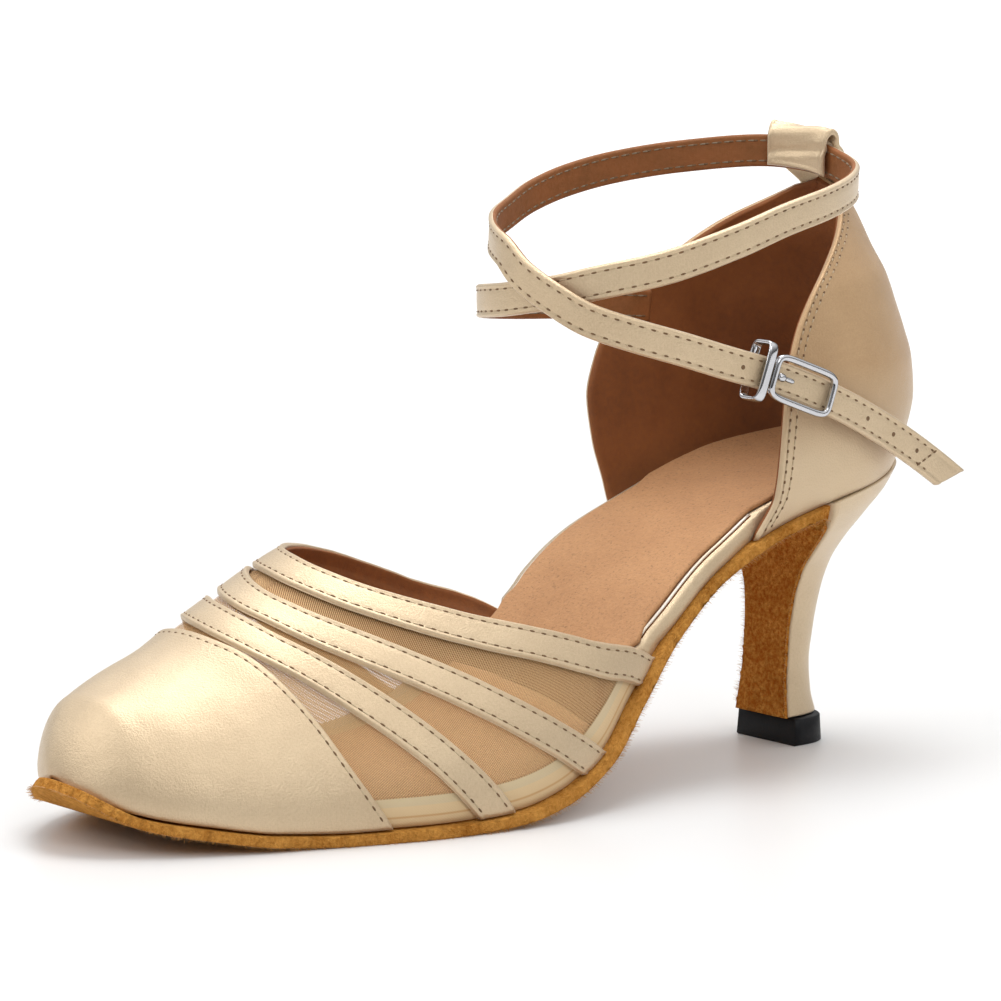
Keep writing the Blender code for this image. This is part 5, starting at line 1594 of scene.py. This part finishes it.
class SHOE_OT_heel(bpy.types.Operator):
    """Satin-covered heel and its black tip"""
    bl_idname = "shoe.heel"
    bl_label = "Heel"

    def execute(self, context):
        rings = []
        for level in np.concatenate([[0.0, 0.004], np.linspace(0.01, 0.99, 80), [0.996, 1.0]]):
            half, middle, front, height = heel_section(level)
            back, foot = HEEL_REACH * smooth(HEEL, 2, level), TIP_HEIGHT + FIT
            angle = np.linspace(0, np.pi, 61)
            x = middle + half * np.sign(np.cos(angle)) * np.abs(np.cos(angle)) ** (2 / HEEL_FULLNESS)
            y = front + (back - front) * np.abs(np.sin(angle)) ** (2 / HEEL_FULLNESS)
            ring = stack(x, y, foot + (seat_height(y) - foot) * level)
            share = np.linspace(-1, 1, 14)[1:-1]
            ring = np.concatenate([ring, stack(middle + half * share, front, height)])
            if level in (0.0, 1.0):
                ring = ring.mean(axis=0) + (ring - ring.mean(axis=0)) * np.array([0.97, 0.97, 1.0])
            rings.append(ring)
        ride(ring_solid("heel_satin", np.array(rings), [FINISH["satin"]]), "champagne_satin", "heel")
        rings = []
        for z, grow in ((0.0, 0.97), (0.25 * MM, 1.0), (TIP_HEIGHT * 0.5, (1 + TIP_TAPER) / 2),
                        (TIP_HEIGHT - 0.3 * MM, TIP_TAPER), (TIP_HEIGHT, TIP_TAPER - 0.04)):
            angle = np.linspace(0, 2 * np.pi, 73)[:-1]
            x = TIP_WIDTH / 2 * np.sign(np.cos(angle)) * np.abs(np.cos(angle)) ** (2 / TIP_FULLNESS)
            y = TIP_DEPTH * (np.abs(np.sin(angle)) ** (2 / TIP_FULLNESS) - 0.5)
            y = np.where(np.sin(angle) < 0, -TIP_DEPTH / 2, y)
            rings.append(stack(x * grow, y * grow, z))
        ride(ring_solid("heel_tip_rubber", np.array(rings), [FINISH["rubber"]]), "black_rubber", "heel_tip")
        return {"FINISHED"}


def bent_bar(name, middle, first, second, half_first, half_second, depth_way, flat, deep, squareness,
             node_name):
    """A chrome bar bent into a squarish hoop. first and second span the hoop, flat and deep are its
    thickness in that plane and along depth_way."""
    rings = []
    for step in np.linspace(0, 2 * math.pi, 97)[:-1]:
        c, s = math.cos(step), math.sin(step)
        a = half_first * math.copysign(abs(c) ** (1 / HOOP_FULLNESS), c)
        b = half_second * math.copysign(abs(s) ** (1 / HOOP_FULLNESS), s)
        way = unit(first * math.copysign(abs(c) ** 1.2, c) + second * math.copysign(abs(s) ** 1.2, s))
        turn = np.linspace(0, 2 * math.pi, 17)[:-1]
        ct = np.sign(np.cos(turn)) * np.abs(np.cos(turn)) ** squareness
        st = np.sign(np.sin(turn)) * np.abs(np.sin(turn)) ** squareness
        ring = way * (flat / 2 * ct)[:, None] + depth_way * (deep / 2 * st)[:, None]
        rings.append(middle + first * a + second * b + ring)
    return ride(hoop_solid(name, np.array(rings), [FINISH["chrome"]]), "chrome", node_name)


class SHOE_OT_buckle(bpy.types.Operator):
    """Chrome buckle frame, keeper and prong"""
    bl_idname = "shoe.buckle"
    bl_label = "Buckle"

    def execute(self, context):
        spot, ahead, up, out = strap_frame(BUCKLE_PLACE)
        keeper = spot - ahead * (BUCKLE_LENGTH + KEEPER_WIDTH + 2 * FIT) / 2 - out * (STUB_THICK + FIT) / 2
        bent_bar("keeper_chrome", keeper, up, out, KEEPER_HEIGHT / 2, KEEPER_DEPTH / 2, ahead, KEEPER_THICK,
                 KEEPER_WIDTH, 0.7, "buckle_keeper")
        middle = spot + out * (STRAP_THICK / 2 + FIT + WIRE / 2)
        bent_bar("frame_chrome", middle, ahead, up, (BUCKLE_LENGTH - WIRE) / 2, (BUCKLE_WIDTH - WIRE) / 2,
                 out, WIRE, WIRE, 0.8, "buckle_frame")
        lift = STRAP_THICK / 2 + FIT + PRONG_THICK / 2
        start = spot - ahead * (BUCKLE_LENGTH / 2 - WIRE - FIT) + out * lift
        turn = np.linspace(0, 2 * math.pi, 21)[:-1]
        circle = np.cos(turn)[:, None] * up + np.sin(turn)[:, None] * out
        shares = np.linspace(0, 1, 24)
        rings = []
        for share, swell in zip(shares, smooth(PRONG_SHAPE, 1, shares)):
            rings.append(start + ahead * PRONG_LENGTH * share + PRONG_THICK / 2 * swell * circle)
        ride(ring_solid("prong_chrome", np.array(rings), [FINISH["chrome"]]), "chrome", "buckle_prong")
        return {"FINISHED"}


class SHOE_OT_stage(bpy.types.Operator):
    """Pale floor, soft lights and the photograph's camera"""
    bl_idname = "shoe.stage"
    bl_label = "Stage"

    def execute(self, context):
        scene = context.scene
        material, tree, shader, place = blank("studio_floor", Roughness=0.35)
        tone = scene.shoe_colours.floor
        look = mottled(tree, place, 2.0, 60.0, 0.2, opaque(tone), opaque(tone, 0.99))
        tree.links.new(look["Colour"], shader.inputs["Base Color"])
        away = node(tree, "ShaderNodeVectorMath", {0: place}, operation="LENGTH").outputs["Value"]
        tree.links.new(remap(tree, away, *FLOOR_GLOW), shader.inputs["Emission Strength"])
        shader.inputs["Emission Color"].default_value = (1.0, 1.0, 1.0, 1.0)
        mesh = bpy.data.meshes.new("floor")
        corners = [(x * FLOOR_HALF, y * FLOOR_HALF, 0) for x, y in ((-1, -1), (1, -1), (1, 1), (-1, 1))]
        mesh.from_pydata(corners, [], [(0, 1, 2, 3)])
        mesh.materials.append(material)
        floor = bpy.data.objects.new("floor", mesh)
        scene.collection.objects.link(floor)
        world = bpy.data.worlds.new("studio") if scene.world is None else scene.world
        scene.world = world
        world.use_nodes = True
        tree = world.node_tree
        sky = node(tree, "ShaderNodeTexCoord").outputs["Generated"]
        glow = remap(tree, node(tree, "ShaderNodeSeparateXYZ", {0: sky}).outputs[2], *SKY_GLOW)
        turn, rising, roll = (math.radians(v) for v in (CAMERA_TURN, CAMERA_RISE, CAMERA_ROLL))
        flat = math.cos(rising)
        back = Vector((math.sin(turn) * flat, -math.cos(turn) * flat, math.sin(rising)))
        facing = node(tree, "ShaderNodeVectorMath", {0: sky, 1: tuple(back)}, operation="DOT_PRODUCT")
        dim = remap(tree, facing.outputs["Value"], *DARK_SIDE)
        tree.links.new(maths(tree, "MULTIPLY", glow, dim), tree.nodes["Background"].inputs["Strength"])
        tree.nodes["Background"].inputs["Color"].default_value = (1.0, 1.0, 1.0, 1.0)
        aim = Vector(CAMERA_AIM)
        for name, place, size, power in LIGHTS:
            lamp = bpy.data.lights.new(name, "AREA")
            lamp.size, lamp.energy = size, power
            lit = bpy.data.objects.new(name, lamp)
            lit.location = place
            lit.rotation_euler = (aim - Vector(place)).to_track_quat("-Z", "Y").to_euler()
            scene.collection.objects.link(lit)
        right = Vector((math.cos(turn), math.sin(turn), 0.0))
        up = back.cross(right)
        right, up = right * math.cos(roll) + up * math.sin(roll), up * math.cos(roll) - right * math.sin(roll)
        lens = bpy.data.cameras.new("camera")
        lens.lens, lens.sensor_width, lens.clip_start = CAMERA_LENS, SENSOR_WIDTH, 0.01
        camera = bpy.data.objects.new("camera", lens)
        matrix = Matrix((right, up, back)).transposed().to_4x4()
        matrix.translation = aim + back * CAMERA_DISTANCE
        camera.matrix_world = matrix
        scene.collection.objects.link(camera)
        scene.camera = camera
        scene.view_settings.view_transform = "Standard"
        return {"FINISHED"}


class SHOE_PT_panel(bpy.types.Panel):
    """Sizes, colours and pieces of the shoe"""
    bl_idname = "SHOE_PT_panel"
    bl_label = "Dance shoe"
    bl_space_type = "VIEW_3D"
    bl_region_type = "UI"
    bl_category = "Dance shoe"

    def draw(self, context):
        for group in (context.scene.shoe_sizes, context.scene.shoe_colours):
            for key in group.bl_rna.properties.keys():
                if key not in ("rna_type", "name"):
                    self.layout.prop(group, key)
        for operator in OPERATORS:
            self.layout.operator(operator.bl_idname)


OPERATORS = (SHOE_OT_finishes, SHOE_OT_sole, SHOE_OT_insole, SHOE_OT_vamp, SHOE_OT_counter, SHOE_OT_straps,
             SHOE_OT_heel, SHOE_OT_buckle, SHOE_OT_stage)
CLASSES = (ShoeSizes, ShoeColours) + OPERATORS + (SHOE_PT_panel,)


def register():
    for cls in CLASSES:
        bpy.utils.register_class(cls)
    bpy.types.Scene.shoe_sizes = bpy.props.PointerProperty(type=ShoeSizes)
    bpy.types.Scene.shoe_colours = bpy.props.PointerProperty(type=ShoeColours)


def unregister():
    del bpy.types.Scene.shoe_colours
    del bpy.types.Scene.shoe_sizes
    for cls in reversed(CLASSES):
        bpy.utils.unregister_class(cls)


def main():
    register()
    for operator in OPERATORS:
        family, action = operator.bl_idname.split(".")
        getattr(getattr(bpy.ops, family), action)()


if __name__ == "__main__":
    main()
